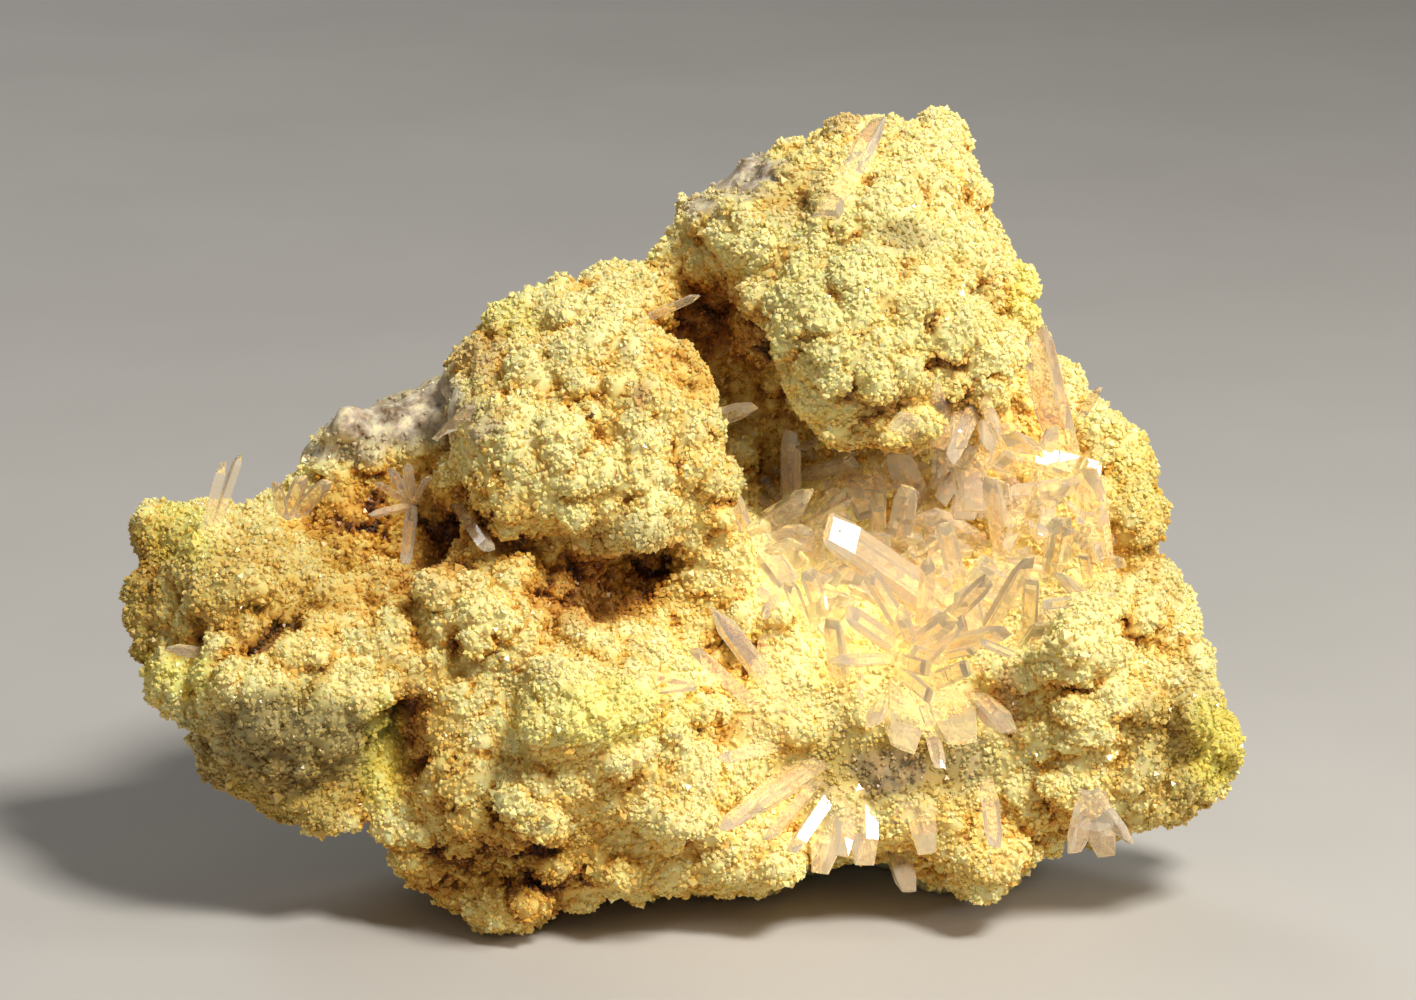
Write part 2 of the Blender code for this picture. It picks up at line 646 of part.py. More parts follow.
def stand_up(nodes, rock):
    """Leans everything back, cuts the rock's feet flat, and puts the origin under the middle of the whole."""
    for node in nodes:
        node.data.transform(Matrix.Rotation(math.radians(-LEAN_DEG), 4, "X"))
    bm = bmesh.new()
    bm.from_mesh(rock.data)
    cut_flat(bm, Vector((0, 0, BASE_HEIGHT_MM * MM)), Vector((0, 0, -1)))
    bmesh.ops.triangulate(bm, faces=bm.faces)
    bm.to_mesh(rock.data)
    bm.free()
    points = [vertex.co for node in nodes for vertex in node.data.vertices]
    middle_x = (min(p.x for p in points) + max(p.x for p in points)) / 2
    middle_y = (min(p.y for p in points) + max(p.y for p in points)) / 2
    for node in nodes:
        node.data.transform(Matrix.Translation((-middle_x, -middle_y, -BASE_HEIGHT_MM * MM)))


def main():
    for obj in list(bpy.data.objects):
        bpy.data.objects.remove(obj)
    specimen = new_collection("celestite_specimen")
    cutters = new_collection("cutters")
    rock = build_rock(specimen, cutters)
    bm = bmesh.new()
    bm.from_mesh(rock.data)
    tree = BVHTree.FromBMesh(bm)
    bm.free()
    skin = rock_layer(rock, GAP_MM, cutters)
    nodes = [rock, build_crust(rock, tree, skin, specimen, cutters)]
    for name, crystals in LOOSE_CRYSTALS.items():
        nodes.append(crystal_node(name, crystals, tree, skin, specimen, cutters))
    for node in nodes:
        give_material(node, "matrix" if node is rock else "crystal")
    stand_up(nodes, rock)


main()
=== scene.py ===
"""Looks of the celestite specimen: its druse, its clear crystals, the light and the camera."""

import itertools
import math

import bmesh
import bpy
import numpy as np
from mathutils import Matrix, Vector
from mathutils.bvhtree import BVHTree


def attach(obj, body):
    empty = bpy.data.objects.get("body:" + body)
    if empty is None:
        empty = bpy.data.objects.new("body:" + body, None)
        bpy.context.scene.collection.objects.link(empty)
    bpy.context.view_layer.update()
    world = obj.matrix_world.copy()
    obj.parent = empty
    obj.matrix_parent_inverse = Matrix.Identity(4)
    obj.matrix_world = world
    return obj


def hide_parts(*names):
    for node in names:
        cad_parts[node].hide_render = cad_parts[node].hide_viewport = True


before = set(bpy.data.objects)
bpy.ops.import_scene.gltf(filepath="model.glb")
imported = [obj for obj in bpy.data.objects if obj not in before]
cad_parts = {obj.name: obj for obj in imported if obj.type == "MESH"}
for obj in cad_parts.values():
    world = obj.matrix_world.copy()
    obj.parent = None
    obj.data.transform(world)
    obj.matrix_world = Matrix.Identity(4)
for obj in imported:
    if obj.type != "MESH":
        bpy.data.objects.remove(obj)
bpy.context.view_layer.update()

MM = 0.001
SEED = 20

# The specimen's face as the photograph shows it: across (u), up (v) and out towards the camera (w), in
# millimetres. The rock leans back, and its face's origin lies here in the frame.
LEAN = math.radians(15.0)
FACE_ORIGIN_MM = (-0.179, -11.579, -1.1)

# The photograph's pixels on the face: ten to a millimetre, and the camera's target at their centre.
PIXELS_PER_MM = 10.0
PHOTO_CENTRE_PX = (708.0, 500.0)

# The camera looks straight at the face.
CAMERA_TARGET_FACE = (3.3, 44.3)
CAMERA_DISTANCE_MM = 472.0
LENS_MM = 120.0
SENSOR_MM = 36.0
CLIP_START_M = 0.01

# The skin of the rock: its first and last fineness, how often each is softened, and the merging before it.
FIRST_VOXEL_MM = 0.9
SECOND_VOXEL_MM = 0.62
SMOOTH_ROUNDS = 8
LAST_SMOOTH_ROUNDS = 2
ROCK_WELD_M = 0.00002

# Where the druse ends on its way to the back: full in front of the first, none behind the second. The edge
# swings by this much, with noise of this cell size and seed.
DRUSE_EDGE_MM = (-8.0, -14.0)
DRUSE_SWING_MM = 5.0
DRUSE_EDGE_NOISE = (9.0, 3)

# Heights over the floor: flat below the first and free above the second, and the least for nodules and for
# grains.
BASE_KEPT_MM = (0.15, 1.6)
NODULE_LOWEST_MM = 1.5
BASE_CLEAR_MM = 0.5

# The lining of crystals in the hollow: the middles and radii of two regions on the face, the edge as a share,
# and how far the rock rises under it.
CRUST_REGION = (((25.5, 38.5, 4.0), (18.0, 13.0, 16.0)), ((18.5, 20.5, 3.0), (12.5, 10.0, 14.0)))
CRUST_EDGE = (-0.16, -0.02)
CRUST_RISE_MM = 1.35

# Rounded nodules that stand on the druse: how many, their radii, how far their centres are sunk as shares of
# the radius, the size of their patches, and how finely they are cut. The rock under them is first taken back,
# so that its outline stays.
TAKEN_BACK_MM = 1.6
LARGE_NODULES = (120, (1.8, 3.2), (0.15, 0.65), 11.0, 3)
MIDDLE_NODULES = (1700, (0.8, 1.9), (-0.4, 0.35), 5.5, 2)
NODULE_STRETCH = (0.78, 1.2)
NODULE_FLOOR_GAP_MM = 0.1
NODULE_LEAST_MM = 0.2

# Where the nodules stand: the noise where they begin and where they are thickest, the same for the way that
# the rock faces, each with the share that stays elsewhere, and how much the hollow's lining keeps them off.
NODULE_PATCHES = (0.38, 0.6, 0.06)
NODULE_FACING = (-0.2, 0.5, 0.3)
NODULE_CRUST_LOSS = 0.85

# Clumps of the druse with creases between them: their size and rise in millimetres, and a seed. Then come
# their warp, their strength, the width of their creases and how they fall away from their middle.
CLUMPS = ((3.4, 0.55, 31), (1.7, 0.55, 32))
CLUMP_WARP_MM = 1.6
CLUMP_WARP_CELL_MM = 5.0
CLUMP_WARP_SEEDS = (41, 42, 43)
CLUMP_STRENGTH = (0.3, 1.4)
CLUMP_STRENGTH_CELL_MM = 6.0
CLUMP_CREASE = 0.42
CLUMP_FALL = 0.4

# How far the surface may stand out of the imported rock, at its rim and on its face: freely, and at most. The
# face begins where the rock turns to the camera by the first number, and is full this much further.
RIM_RISE_MM = (0.4, 1.6)
FACE_RISE_MM = (1.6, 4.0)
FACE_TURN = (0.1, 0.5)

# How near the crystals the rise is held back, and the share of it that stays beside them.
CRYSTAL_CLEAR_MM = 3.0
CRYSTAL_ROOM = 0.2

# Scoops between sharp ridges on the broken back: their size and height in millimetres, and a seed. The next
# lines give their curve, their slope, the heights they are cut to and the height that counts as level.
BACK_SCALLOPS = ((11.0, 2.6, 51), (4.6, 1.5, 52), (2.1, 0.6, 53))
SCOOP_CURVE = 1.8
SCOOP_SLOPE = 0.35
SCOOP_HEIGHTS = (-0.3, 1.3)
SCOOP_LEVEL = 0.4

# Chips and crumbs on the broken back: their size and height in millimetres, and a seed.
BACK_CHIPS = (6.5, 0.9, 5)
BACK_CRUMBS = (2.2, 0.35, 6)

# Ledges on the broken slabs of the rim: their height and level, and their layers as cell size, stretch, seed
# and share.
SLAB_LEDGE_MM = 1.1
SLAB_LEVEL = 0.6
SLAB_LAYERS = ((2.4, 3.0, 11, 1.0), (1.2, 2.0, 12, 0.5))

# Shading in the hollows: how many rays are looked along and how far, where they start, the least that they
# face along the surface's normal, and how much less a far hit counts.
SHADE_RAYS = 40
SHADE_REACH_MM = 9.0
CREASE_REACH_MM = 2.2
SHADE_START_MM = 0.12
SHADE_LEAST_FACING = 0.15
SHADE_FAR_LOSS = 0.6
CREASE_FAR_LOSS = 0.5

# The edges of the marks: their noise as cell size, seed and share, the noise of the broken slabs, how much it
# moves an edge, and where a mark begins to fade and ends, as shares of its radii.
MARK_NOISE = ((1.6, 7, 0.6), (4.5, 8, 0.4))
BROKEN_NOISE = (2.5, 9)
MARK_SWING = 0.9
MARK_EDGE = (0.55, 1.2)

# How far a surface has to turn to the camera to show marks, how far down to count as an underside, which is
# painted darker as shade, and the share of the grey marks that goes round the edge.
SEEN_TURN = (-0.45, 0.1)
UNDERSIDE_SHADE_TURN = (-0.05, 0.8)
GREY_BEHIND = 0.3

# A small lamp at the right whose light the bright crystal in the hollow throws back.
GLINT_PLACE = (0.47, -0.13, 0.225)

# Grains of the druse: their number, pieces, size and its spread, their stretch, how far they stand out as a
# share of their size, the floor under them, and how much thinner they lie on grey marks and broken slabs.
GRAIN_COUNT = 92000
GRAIN_PIECES = 5
GRAIN_MM = 0.56
GRAIN_SPREAD = 0.28
GRAIN_STRETCH = (0.75, 1.05)
GRAIN_OUT = (0.0, 0.34)
GRAIN_FLOOR_MM = 0.02
GRAIN_GREY_LOSS = 0.5
GRAIN_BROKEN_LOSS = 0.95

# The sizes of the tables that the noises repeat, and a distance beyond all cells.
NOISE_TABLE = 32
SPOT_TABLE = 16
FAR_CELLS = 9.0


def to_world(u, v, w):
    """A point of the face in the frame, in metres."""
    y = -w * math.cos(LEAN) + v * math.sin(LEAN) + FACE_ORIGIN_MM[1]
    z = w * math.sin(LEAN) + v * math.cos(LEAN) + FACE_ORIGIN_MM[2]
    return Vector((u + FACE_ORIGIN_MM[0], y, z)) * MM


def to_face(points):
    """Points in the frame as across, up and out on the face, in millimetres."""
    across = points[:, 0] / MM - FACE_ORIGIN_MM[0]
    y = points[:, 1] / MM - FACE_ORIGIN_MM[1]
    z = points[:, 2] / MM - FACE_ORIGIN_MM[2]
    up = y * math.sin(LEAN) + z * math.cos(LEAN)
    out = -y * math.cos(LEAN) + z * math.sin(LEAN)
    return across, up, out


def to_pixels(points):
    """Where the photograph shows points of the frame."""
    across, up, out = to_face(points)
    nearer = CAMERA_DISTANCE_MM / (CAMERA_DISTANCE_MM - out)
    px = PHOTO_CENTRE_PX[0] + (across - CAMERA_TARGET_FACE[0]) * PIXELS_PER_MM * nearer
    py = PHOTO_CENTRE_PX[1] - (up - CAMERA_TARGET_FACE[1]) * PIXELS_PER_MM * nearer
    return px, py


def smooth_step(values, low, high):
    """0 below the first bound, 1 above the second, and smooth between them."""
    t = np.clip((values - low) / (high - low), 0.0, 1.0)
    return t * t * (3.0 - 2.0 * t)


def new_object(name, data):
    obj = bpy.data.objects.new(name, data)
    bpy.context.scene.collection.objects.link(obj)
    return obj


def apply_modifiers(obj):
    bpy.context.view_layer.update()
    graph = bpy.context.evaluated_depsgraph_get()
    mesh = bpy.data.meshes.new_from_object(obj.evaluated_get(graph))
    obj.modifiers.clear()
    old = obj.data
    obj.data = mesh
    bpy.data.meshes.remove(old)


def points_of(mesh):
    co = np.empty(len(mesh.vertices) * 3, np.float32)
    mesh.vertices.foreach_get("co", co)
    return co.reshape(-1, 3).astype(np.float64)


def normals_of(mesh):
    vectors = np.empty(len(mesh.vertices) * 3, np.float32)
    mesh.vertex_normals.foreach_get("vector", vectors)
    return vectors.reshape(-1, 3).astype(np.float64)


def set_points(mesh, points):
    mesh.vertices.foreach_set("co", points.astype(np.float32).ravel())
    mesh.update()


def triangles_of(mesh):
    mesh.calc_loop_triangles()
    corners = np.empty(len(mesh.loop_triangles) * 3, np.int32)
    mesh.loop_triangles.foreach_get("vertices", corners)
    return corners.reshape(-1, 3)


def mesh_from_triangles(name, points, triangles):
    mesh = bpy.data.meshes.new(name)
    mesh.vertices.add(len(points))
    mesh.vertices.foreach_set("co", points.astype(np.float32).ravel())
    mesh.loops.add(len(triangles) * 3)
    mesh.loops.foreach_set("vertex_index", triangles.astype(np.int32).ravel())
    mesh.polygons.add(len(triangles))
    mesh.polygons.foreach_set("loop_start", np.arange(0, len(triangles) * 3, 3, dtype=np.int32))
    mesh.update(calc_edges=True)
    mesh.validate()
    return mesh


def set_attribute(mesh, name, values):
    attribute = mesh.attributes.get(name) or mesh.attributes.new(name, "FLOAT", "POINT")
    attribute.data.foreach_set("value", np.asarray(values, np.float32))


def value_noise(points, cell_mm, seed):
    """Smooth noise from 0 to 1 in space, with this cell size."""
    table = np.random.default_rng(seed).random((NOISE_TABLE, NOISE_TABLE, NOISE_TABLE))
    scaled = points / (cell_mm * MM)
    low = np.floor(scaled).astype(int)
    part = scaled - low
    part = part * part * (3.0 - 2.0 * part)
    total = np.zeros(len(points))
    for step in itertools.product((0, 1), repeat=3):
        share = np.ones(len(points))
        for axis, side in enumerate(step):
            share *= part[:, axis] if side else 1 - part[:, axis]
        total += share * table[tuple(((low + step) % NOISE_TABLE).T)]
    return total


def layered_noise(points, layers):
    """Noises laid over each other, given as cell size, seed and share."""
    total = np.zeros(len(points))
    for cell_mm, seed, share in layers:
        total += share * value_noise(points, cell_mm, seed)
    return total


def cells_around(points, cell_mm):
    """The points in cells, each cell beside a point's own, and that cell's place in the repeating tables."""
    scaled = points / (cell_mm * MM)
    low = np.floor(scaled).astype(int)
    for step in itertools.product((-1, 0, 1), repeat=3):
        cell = low + step
        yield scaled, cell, tuple((cell % SPOT_TABLE).T)


def cell_noise(points, cell_mm, seed):
    """How far the nearest and the second nearest of scattered spots are, in cells."""
    jitter = np.random.default_rng(seed).random((SPOT_TABLE, SPOT_TABLE, SPOT_TABLE, 3))
    first = np.full(len(points), FAR_CELLS)
    second = np.full(len(points), FAR_CELLS)
    for scaled, cell, at in cells_around(points, cell_mm):
        spot = cell + jitter[at]
        away = np.linalg.norm(scaled - spot, axis=1)
        second = np.minimum(second, np.maximum(first, away))
        first = np.minimum(first, away)
    return first, second


def scallops(points, cell_mm, seed):
    """Shallow scoops that meet at sharp ridges, as broken rock has them: 0 in a scoop, about 1 on a ridge."""
    rng = np.random.default_rng(seed)
    jitter = rng.random((SPOT_TABLE, SPOT_TABLE, SPOT_TABLE, 3))
    slopes = rng.normal(0.0, SCOOP_SLOPE, (SPOT_TABLE, SPOT_TABLE, SPOT_TABLE, 3))
    lowest = np.full(len(points), FAR_CELLS)
    for scaled, cell, at in cells_around(points, cell_mm):
        away = scaled - cell - jitter[at]
        height = SCOOP_CURVE * (away ** 2).sum(1) + (away * slopes[at]).sum(1)
        lowest = np.minimum(lowest, height)
    return np.clip(lowest, *SCOOP_HEIGHTS)


def broken_relief(points):
    """The height of the broken back in millimetres, and how near to a ridge each point is."""
    height = np.zeros(len(points))
    ridge = np.zeros(len(points))
    for cell_mm, height_mm, seed in BACK_SCALLOPS:
        scoop = scallops(points, cell_mm, seed)
        height += height_mm * (scoop - SCOOP_LEVEL)
        ridge += scoop / len(BACK_SCALLOPS)
    return height, ridge


def clumps(points):
    """The rise of the druse's clumps in millimetres, and how deep in a crease between them each point is, for
    the painted shade in the creases.
    """
    swings = [value_noise(points, CLUMP_WARP_CELL_MM, seed) - 0.5 for seed in CLUMP_WARP_SEEDS]
    warped = points + np.stack(swings, 1) * CLUMP_WARP_MM * MM
    least, spread = CLUMP_STRENGTH
    rise = np.zeros(len(points))
    clump_crease_shade = np.zeros(len(points))
    for cell_mm, rise_mm, seed in CLUMPS:
        first, second = cell_noise(warped, cell_mm, seed)
        ridge = smooth_step(second - first, 0.0, CLUMP_CREASE)
        strength = least + spread * value_noise(points, CLUMP_STRENGTH_CELL_MM, seed)
        rise += rise_mm * ridge * (1.0 - CLUMP_FALL * first) * strength
        clump_crease_shade = np.maximum(clump_crease_shade, (1.0 - ridge) * np.clip(strength, 0.0, 1.0))
    return rise, clump_crease_shade


# Marks on the rock: the middle and radii of each in the photograph's pixels, and its strength.
# Bright yellow patches: partly the rock's own tint and partly painted light on the flanks and rims that the
# light falls on most.
LEMON_AND_LIGHT_MARKS = (
    (180, 532, 42, 34, 1.0), (184, 672, 42, 26, 1.0), (385, 752, 26, 62, 1.0), (610, 712, 60, 36, 0.9),
    (1028, 292, 24, 40, 0.9), (1218, 745, 30, 70, 1.0), (545, 715, 50, 30, 0.5), (505, 318, 40, 22, 0.6),
    (760, 175, 60, 34, 0.5), (1150, 450, 50, 80, 0.35), (670, 705, 40, 30, 0.4),
)
# Rusty brown spots: partly the rock's own iron stain and partly painted shade in recesses, creases and the
# cleft.
RUST_AND_SHADE_MARKS = (
    (478, 352, 34, 30, 0.6), (795, 190, 40, 34, 0.4), (712, 320, 40, 46, 0.8),
    (640, 395, 10, 18, 1.0), (412, 735, 22, 60, 0.6), (430, 565, 60, 40, 0.35), (590, 600, 70, 30, 0.6),
    (835, 120, 30, 14, 0.6), (160, 550, 30, 40, 0.3), (1010, 705, 14, 40, 0.9),
)
GREY_MARKS = (
    (888, 770, 44, 26, 1.0), (960, 760, 30, 30, 0.5), (260, 742, 80, 54, 0.55), (395, 415, 92, 34, 0.95),
    (735, 170, 40, 30, 0.9), (640, 535, 70, 24, 0.35), (905, 235, 30, 20, 0.4), (330, 735, 50, 40, 0.4),
)
# Painted shade: places turned away from the light, darkened to a flat brown.
PAINTED_SHADE_MARKS = (
    (1198, 745, 70, 95, 0.8), (300, 745, 115, 66, 0.9), (125, 590, 40, 80, 0.8), (250, 800, 110, 40, 0.9),
    (895, 765, 100, 40, 0.9), (1150, 830, 70, 40, 0.5), (190, 560, 60, 50, 0.3), (1165, 520, 40, 90, 0.4),
    (260, 580, 120, 60, 0.45), (905, 235, 26, 18, 0.6),
)
GREEN_MARKS = (
    (870, 290, 150, 130, 0.8), (900, 410, 110, 40, 0.6), (620, 500, 110, 60, 0.45), (300, 720, 110, 70, 0.5),
)

# Places pushed towards brown along the druse's colour: partly its own deeper tone and partly painted shade on
# sides turned from the light, in recesses and under the crystals.
HONEY_AND_SHADE_MARKS = (
    (400, 520, 120, 60, 1.0), (135, 600, 34, 80, 0.9), (490, 870, 130, 60, 0.9), (270, 790, 100, 45, 0.8),
    (700, 350, 70, 70, 0.8), (430, 740, 50, 90, 0.7), (780, 500, 90, 80, 0.2), (950, 470, 180, 90, 0.6),
    (270, 590, 130, 70, 0.6), (1150, 520, 40, 90, 0.4), (1190, 740, 60, 80, 0.3), (895, 650, 120, 60, 0.3),
    (888, 765, 80, 34, 0.8), (1010, 500, 110, 60, 0.5), (600, 590, 90, 40, 0.8), (960, 840, 90, 50, 0.4),
)
BROKEN_MARKS = (
    (385, 418, 88, 30, 1.0), (330, 452, 60, 16, 0.8), (432, 395, 34, 24, 1.0), (738, 172, 46, 26, 1.0),
    (700, 205, 26, 16, 0.8),
)

# Lumps of the druse that the photograph shows plainly: the middle in its pixels, and the radius in
# millimetres. They are sunk by a share of the radius between these two.
LUMPS = (
    (165, 532, 3.4), (200, 508, 2.6), (132, 585, 2.4), (175, 672, 4.0), (228, 590, 2.8), (262, 690, 2.8),
    (300, 662, 2.4), (362, 690, 2.6), (388, 742, 2.6), (240, 770, 3.0), (470, 602, 2.8), (505, 582, 2.2),
    (560, 715, 3.6), (622, 702, 2.8), (690, 705, 2.0), (500, 640, 2.2), (610, 800, 2.8), (540, 800, 2.4),
    (505, 322, 2.8), (560, 290, 2.4), (500, 430, 2.0), (562, 442, 3.2), (622, 430, 2.8), (652, 472, 2.8),
    (640, 525, 2.4), (700, 468, 1.9), (735, 456, 1.3), (600, 350, 2.0), (640, 300, 2.2), (530, 380, 2.0),
    (815, 320, 2.8), (852, 300, 3.2), (882, 370, 3.2), (950, 330, 2.8), (962, 260, 2.4), (884, 428, 1.6),
    (888, 446, 1.1), (990, 388, 2.2), (845, 395, 2.0), (770, 300, 2.4), (722, 205, 2.0), (800, 175, 2.0),
    (930, 170, 2.8), (880, 230, 2.4), (1010, 300, 2.2), (1085, 628, 3.6), (1135, 606, 2.8), (1172, 682, 3.2),
    (1092, 730, 2.8), (1200, 742, 2.8), (1142, 800, 2.8), (1035, 680, 1.6), (985, 862, 2.8), (998, 672, 1.4),
    (1130, 450, 2.2), (1155, 520, 2.2), (905, 665, 1.8), (860, 700, 1.6), (500, 905, 2.4),
)
LUMP_SINK = (0.15, 0.45)
LUMP_DETAIL = 3


def marks(px, py, rough, table):
    """How strongly the marks of a table show at each point."""
    strength = np.zeros(len(px))
    for x, y, rx, ry, most in table:
        away = np.sqrt(((px - x) / rx) ** 2 + ((py - y) / ry) ** 2) + (rough - 0.5) * MARK_SWING
        strength = np.maximum(strength, most * (1.0 - smooth_step(away, *MARK_EDGE)))
    return strength


# The camera.
face_out = (to_world(0, 0, 1) - to_world(0, 0, 0)).normalized()
target = to_world(*CAMERA_TARGET_FACE, 0.0)
camera_data = bpy.data.cameras.new("camera")
camera_data.lens = LENS_MM
camera_data.sensor_width = SENSOR_MM
camera_data.clip_start = CLIP_START_M
camera = new_object("camera", camera_data)
camera.location = target + face_out * CAMERA_DISTANCE_MM * MM
camera.rotation_euler = face_out.to_track_quat("Z", "Y").to_euler()
bpy.context.scene.camera = camera


# The rock's surface.
def tree_of(meshes):
    """One search tree over the faces of these meshes."""
    bm = bmesh.new()
    for mesh in meshes:
        bm.from_mesh(mesh)
    tree = BVHTree.FromBMesh(bm)
    bm.free()
    return tree


def loose_crystals():
    """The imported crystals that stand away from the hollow."""
    return [node for name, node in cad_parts.items() if name not in ("matrix", "hollow_crystal_crust")]


def ball(subdivisions):
    """The corners and triangles of a round ball of radius 1."""
    bm = bmesh.new()
    bmesh.ops.create_icosphere(bm, subdivisions=subdivisions, radius=1.0)
    corners = np.array([vert.co[:] for vert in bm.verts])
    triangles = np.array([[vert.index for vert in face.verts] for face in bm.faces])
    bm.free()
    return corners, triangles


def broken_weight(points):
    """1 where the rim is plain broken rock, without druse."""
    px, py = to_pixels(points)
    return marks(px, py, value_noise(points, *BROKEN_NOISE), BROKEN_MARKS)


def crust_weight(points):
    """1 where the crystals' lining has to lie under the surface, falling to 0 around it."""
    across, up, out = to_face(points)
    weight = np.zeros(len(points))
    for (cu, cv, cw), (ru, rv, rw) in CRUST_REGION:
        inside = 1.0 - np.sqrt(((across - cu) / ru) ** 2 + ((up - cv) / rv) ** 2 + ((out - cw) / rw) ** 2)
        weight = np.maximum(weight, smooth_step(inside, *CRUST_EDGE))
    return weight


def druse_weight(points):
    """1 on the front and the rim, 0 on the broken back."""
    out = to_face(points)[2]
    edge = out + DRUSE_SWING_MM * (value_noise(points, *DRUSE_EDGE_NOISE) - 0.5)
    full, none = DRUSE_EDGE_MM
    return smooth_step(edge, none, full)


def join_balls(rock, rng, centres, radii, subdivisions):
    """Adds round nodules to the rock's mesh, to be joined with it in one skin."""
    mesh = rock.data
    count = len(centres)
    room = np.maximum(centres[:, 2] - NODULE_FLOOR_GAP_MM * MM, NODULE_LEAST_MM * MM)
    radii = np.clip(radii, 0.0, room)
    stretch = rng.uniform(*NODULE_STRETCH, (count, 3)) * radii[:, None]
    stretch[:, 2] = radii
    corners, triangles = ball(subdivisions)
    verts = (corners[None] * stretch[:, None, :] + centres[:, None, :]).reshape(-1, 3)
    faces = (triangles[None] + np.arange(count)[:, None, None] * len(corners)).reshape(-1, 3)
    all_points = np.concatenate([points_of(mesh), verts])
    all_triangles = np.concatenate([triangles_of(mesh), faces + len(mesh.vertices)])
    rock.data = mesh_from_triangles("nodules", all_points, all_triangles)
    bpy.data.meshes.remove(mesh)


def add_nodules(rock, rng, nodules):
    """Sets round nodules all over the druse."""
    count, radii_mm, sinks, patch_mm, subdivisions = nodules
    mesh = rock.data
    points = points_of(mesh)
    normals = normals_of(mesh)
    above = points[:, 2] > NODULE_LOWEST_MM * MM
    weight = druse_weight(points) * (1.0 - NODULE_CRUST_LOSS * crust_weight(points)) * above
    begin, full, elsewhere = NODULE_PATCHES
    weight *= smooth_step(value_noise(points, patch_mm, count), begin, full) + elsewhere
    begin, full, elsewhere = NODULE_FACING
    weight *= smooth_step(normals @ np.array(face_out), begin, full) + elsewhere
    weight *= 1.0 - broken_weight(points)
    chosen = rng.choice(len(points), size=count, replace=False, p=weight / weight.sum())
    radii = rng.uniform(*radii_mm, count) * MM
    centres = points[chosen] - normals[chosen] * (radii * rng.uniform(*sinks, count))[:, None]
    join_balls(rock, rng, centres, radii, subdivisions)


def add_lumps(rock, rng):
    """Sets the plain lumps where the camera sees them."""
    tree = tree_of([rock.data])
    centres = []
    radii = []
    for px, py, radius_mm in LUMPS:
        across = CAMERA_TARGET_FACE[0] + (px - PHOTO_CENTRE_PX[0]) / PIXELS_PER_MM
        up = CAMERA_TARGET_FACE[1] - (py - PHOTO_CENTRE_PX[1]) / PIXELS_PER_MM
        on_face = to_world(across, up, 0.0)
        away = (on_face - camera.location).normalized()
        place, normal, _, _ = tree.ray_cast(camera.location, away)
        if place is None:
            place, normal, _, _ = tree.find_nearest(on_face)
        radius = radius_mm * MM
        centres.append(list(place - normal * radius * rng.uniform(*LUMP_SINK)))
        radii.append(radius)
    join_balls(rock, rng, np.array(centres), np.array(radii), LUMP_DETAIL)


def voxel_skin(obj, voxel_mm):
    modifier = obj.modifiers.new("skin", "REMESH")
    modifier.mode = "VOXEL"
    modifier.voxel_size = voxel_mm * MM
    apply_modifiers(obj)


def weld(obj, threshold_m):
    modifier = obj.modifiers.new("weld", "WELD")
    modifier.merge_threshold = threshold_m
    apply_modifiers(obj)


def soften(obj, rounds):
    modifier = obj.modifiers.new("soften", "SMOOTH")
    modifier.iterations = rounds
    apply_modifiers(obj)


def keep_base(points, before):
    """Leaves the flat feet flat and on the floor."""
    flat, free = BASE_KEPT_MM
    raised = smooth_step(before[:, 2], flat * MM, free * MM)[:, None]
    kept = points * raised + before * (1.0 - raised)
    kept[:, 2] = np.maximum(kept[:, 2], 0.0)
    return kept


def near_the_frame(points):
    """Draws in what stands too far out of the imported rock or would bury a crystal, and leaves the rest."""
    tree = tree_of([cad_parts["matrix"].data])
    crystals = tree_of([node.data for node in loose_crystals()])
    turn_low, turn_span = FACE_TURN
    drawn = points.copy()
    for index, point in enumerate(points):
        place, normal, _, distance = tree.find_nearest(Vector(point))
        if distance < RIM_RISE_MM[0] * MM or (Vector(point) - place).dot(normal) < 0:
            continue
        face_share = min(1.0, max(0.0, (normal.dot(face_out) - turn_low) / turn_span))
        free, most = (low + (high - low) * face_share for low, high in zip(RIM_RISE_MM, FACE_RISE_MM))
        from_crystal = crystals.find_nearest(Vector(point), CRYSTAL_CLEAR_MM * MM)[3]
        if from_crystal is not None:
            room = CRYSTAL_ROOM + (1.0 - CRYSTAL_ROOM) * from_crystal / (CRYSTAL_CLEAR_MM * MM)
            free, most = free * room, most * room
        free *= MM
        spare = most * MM - free
        if distance > free:
            kept = free + spare * (1.0 - math.exp((free - distance) / spare))
            drawn[index] = place + (Vector(point) - place) * (kept / distance)
    return drawn


def rough_out(rock, rng):
    """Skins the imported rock, makes room for the druse and sets the lumps and nodules."""
    weld(rock, ROCK_WELD_M)
    voxel_skin(rock, FIRST_VOXEL_MM)
    before = points_of(rock.data)
    soften(rock, SMOOTH_ROUNDS)
    points = keep_base(points_of(rock.data), before)
    set_points(rock.data, points)

    druse = druse_weight(points)
    crust = crust_weight(points)
    cell_mm, height_mm, seed = BACK_CHIPS
    chips = value_noise(points, cell_mm, seed) - 0.5
    move = (1 - druse) * chips * height_mm + crust * CRUST_RISE_MM
    move -= druse * (1 - crust) * (1 - broken_weight(points)) * TAKEN_BACK_MM
    set_points(rock.data, keep_base(points + normals_of(rock.data) * move[:, None] * MM, points))
    add_lumps(rock, rng)
    add_nodules(rock, rng, LARGE_NODULES)
    voxel_skin(rock, FIRST_VOXEL_MM)
    add_nodules(rock, rng, MIDDLE_NODULES)
    voxel_skin(rock, SECOND_VOXEL_MM)
    soften(rock, LAST_SMOOTH_ROUNDS)


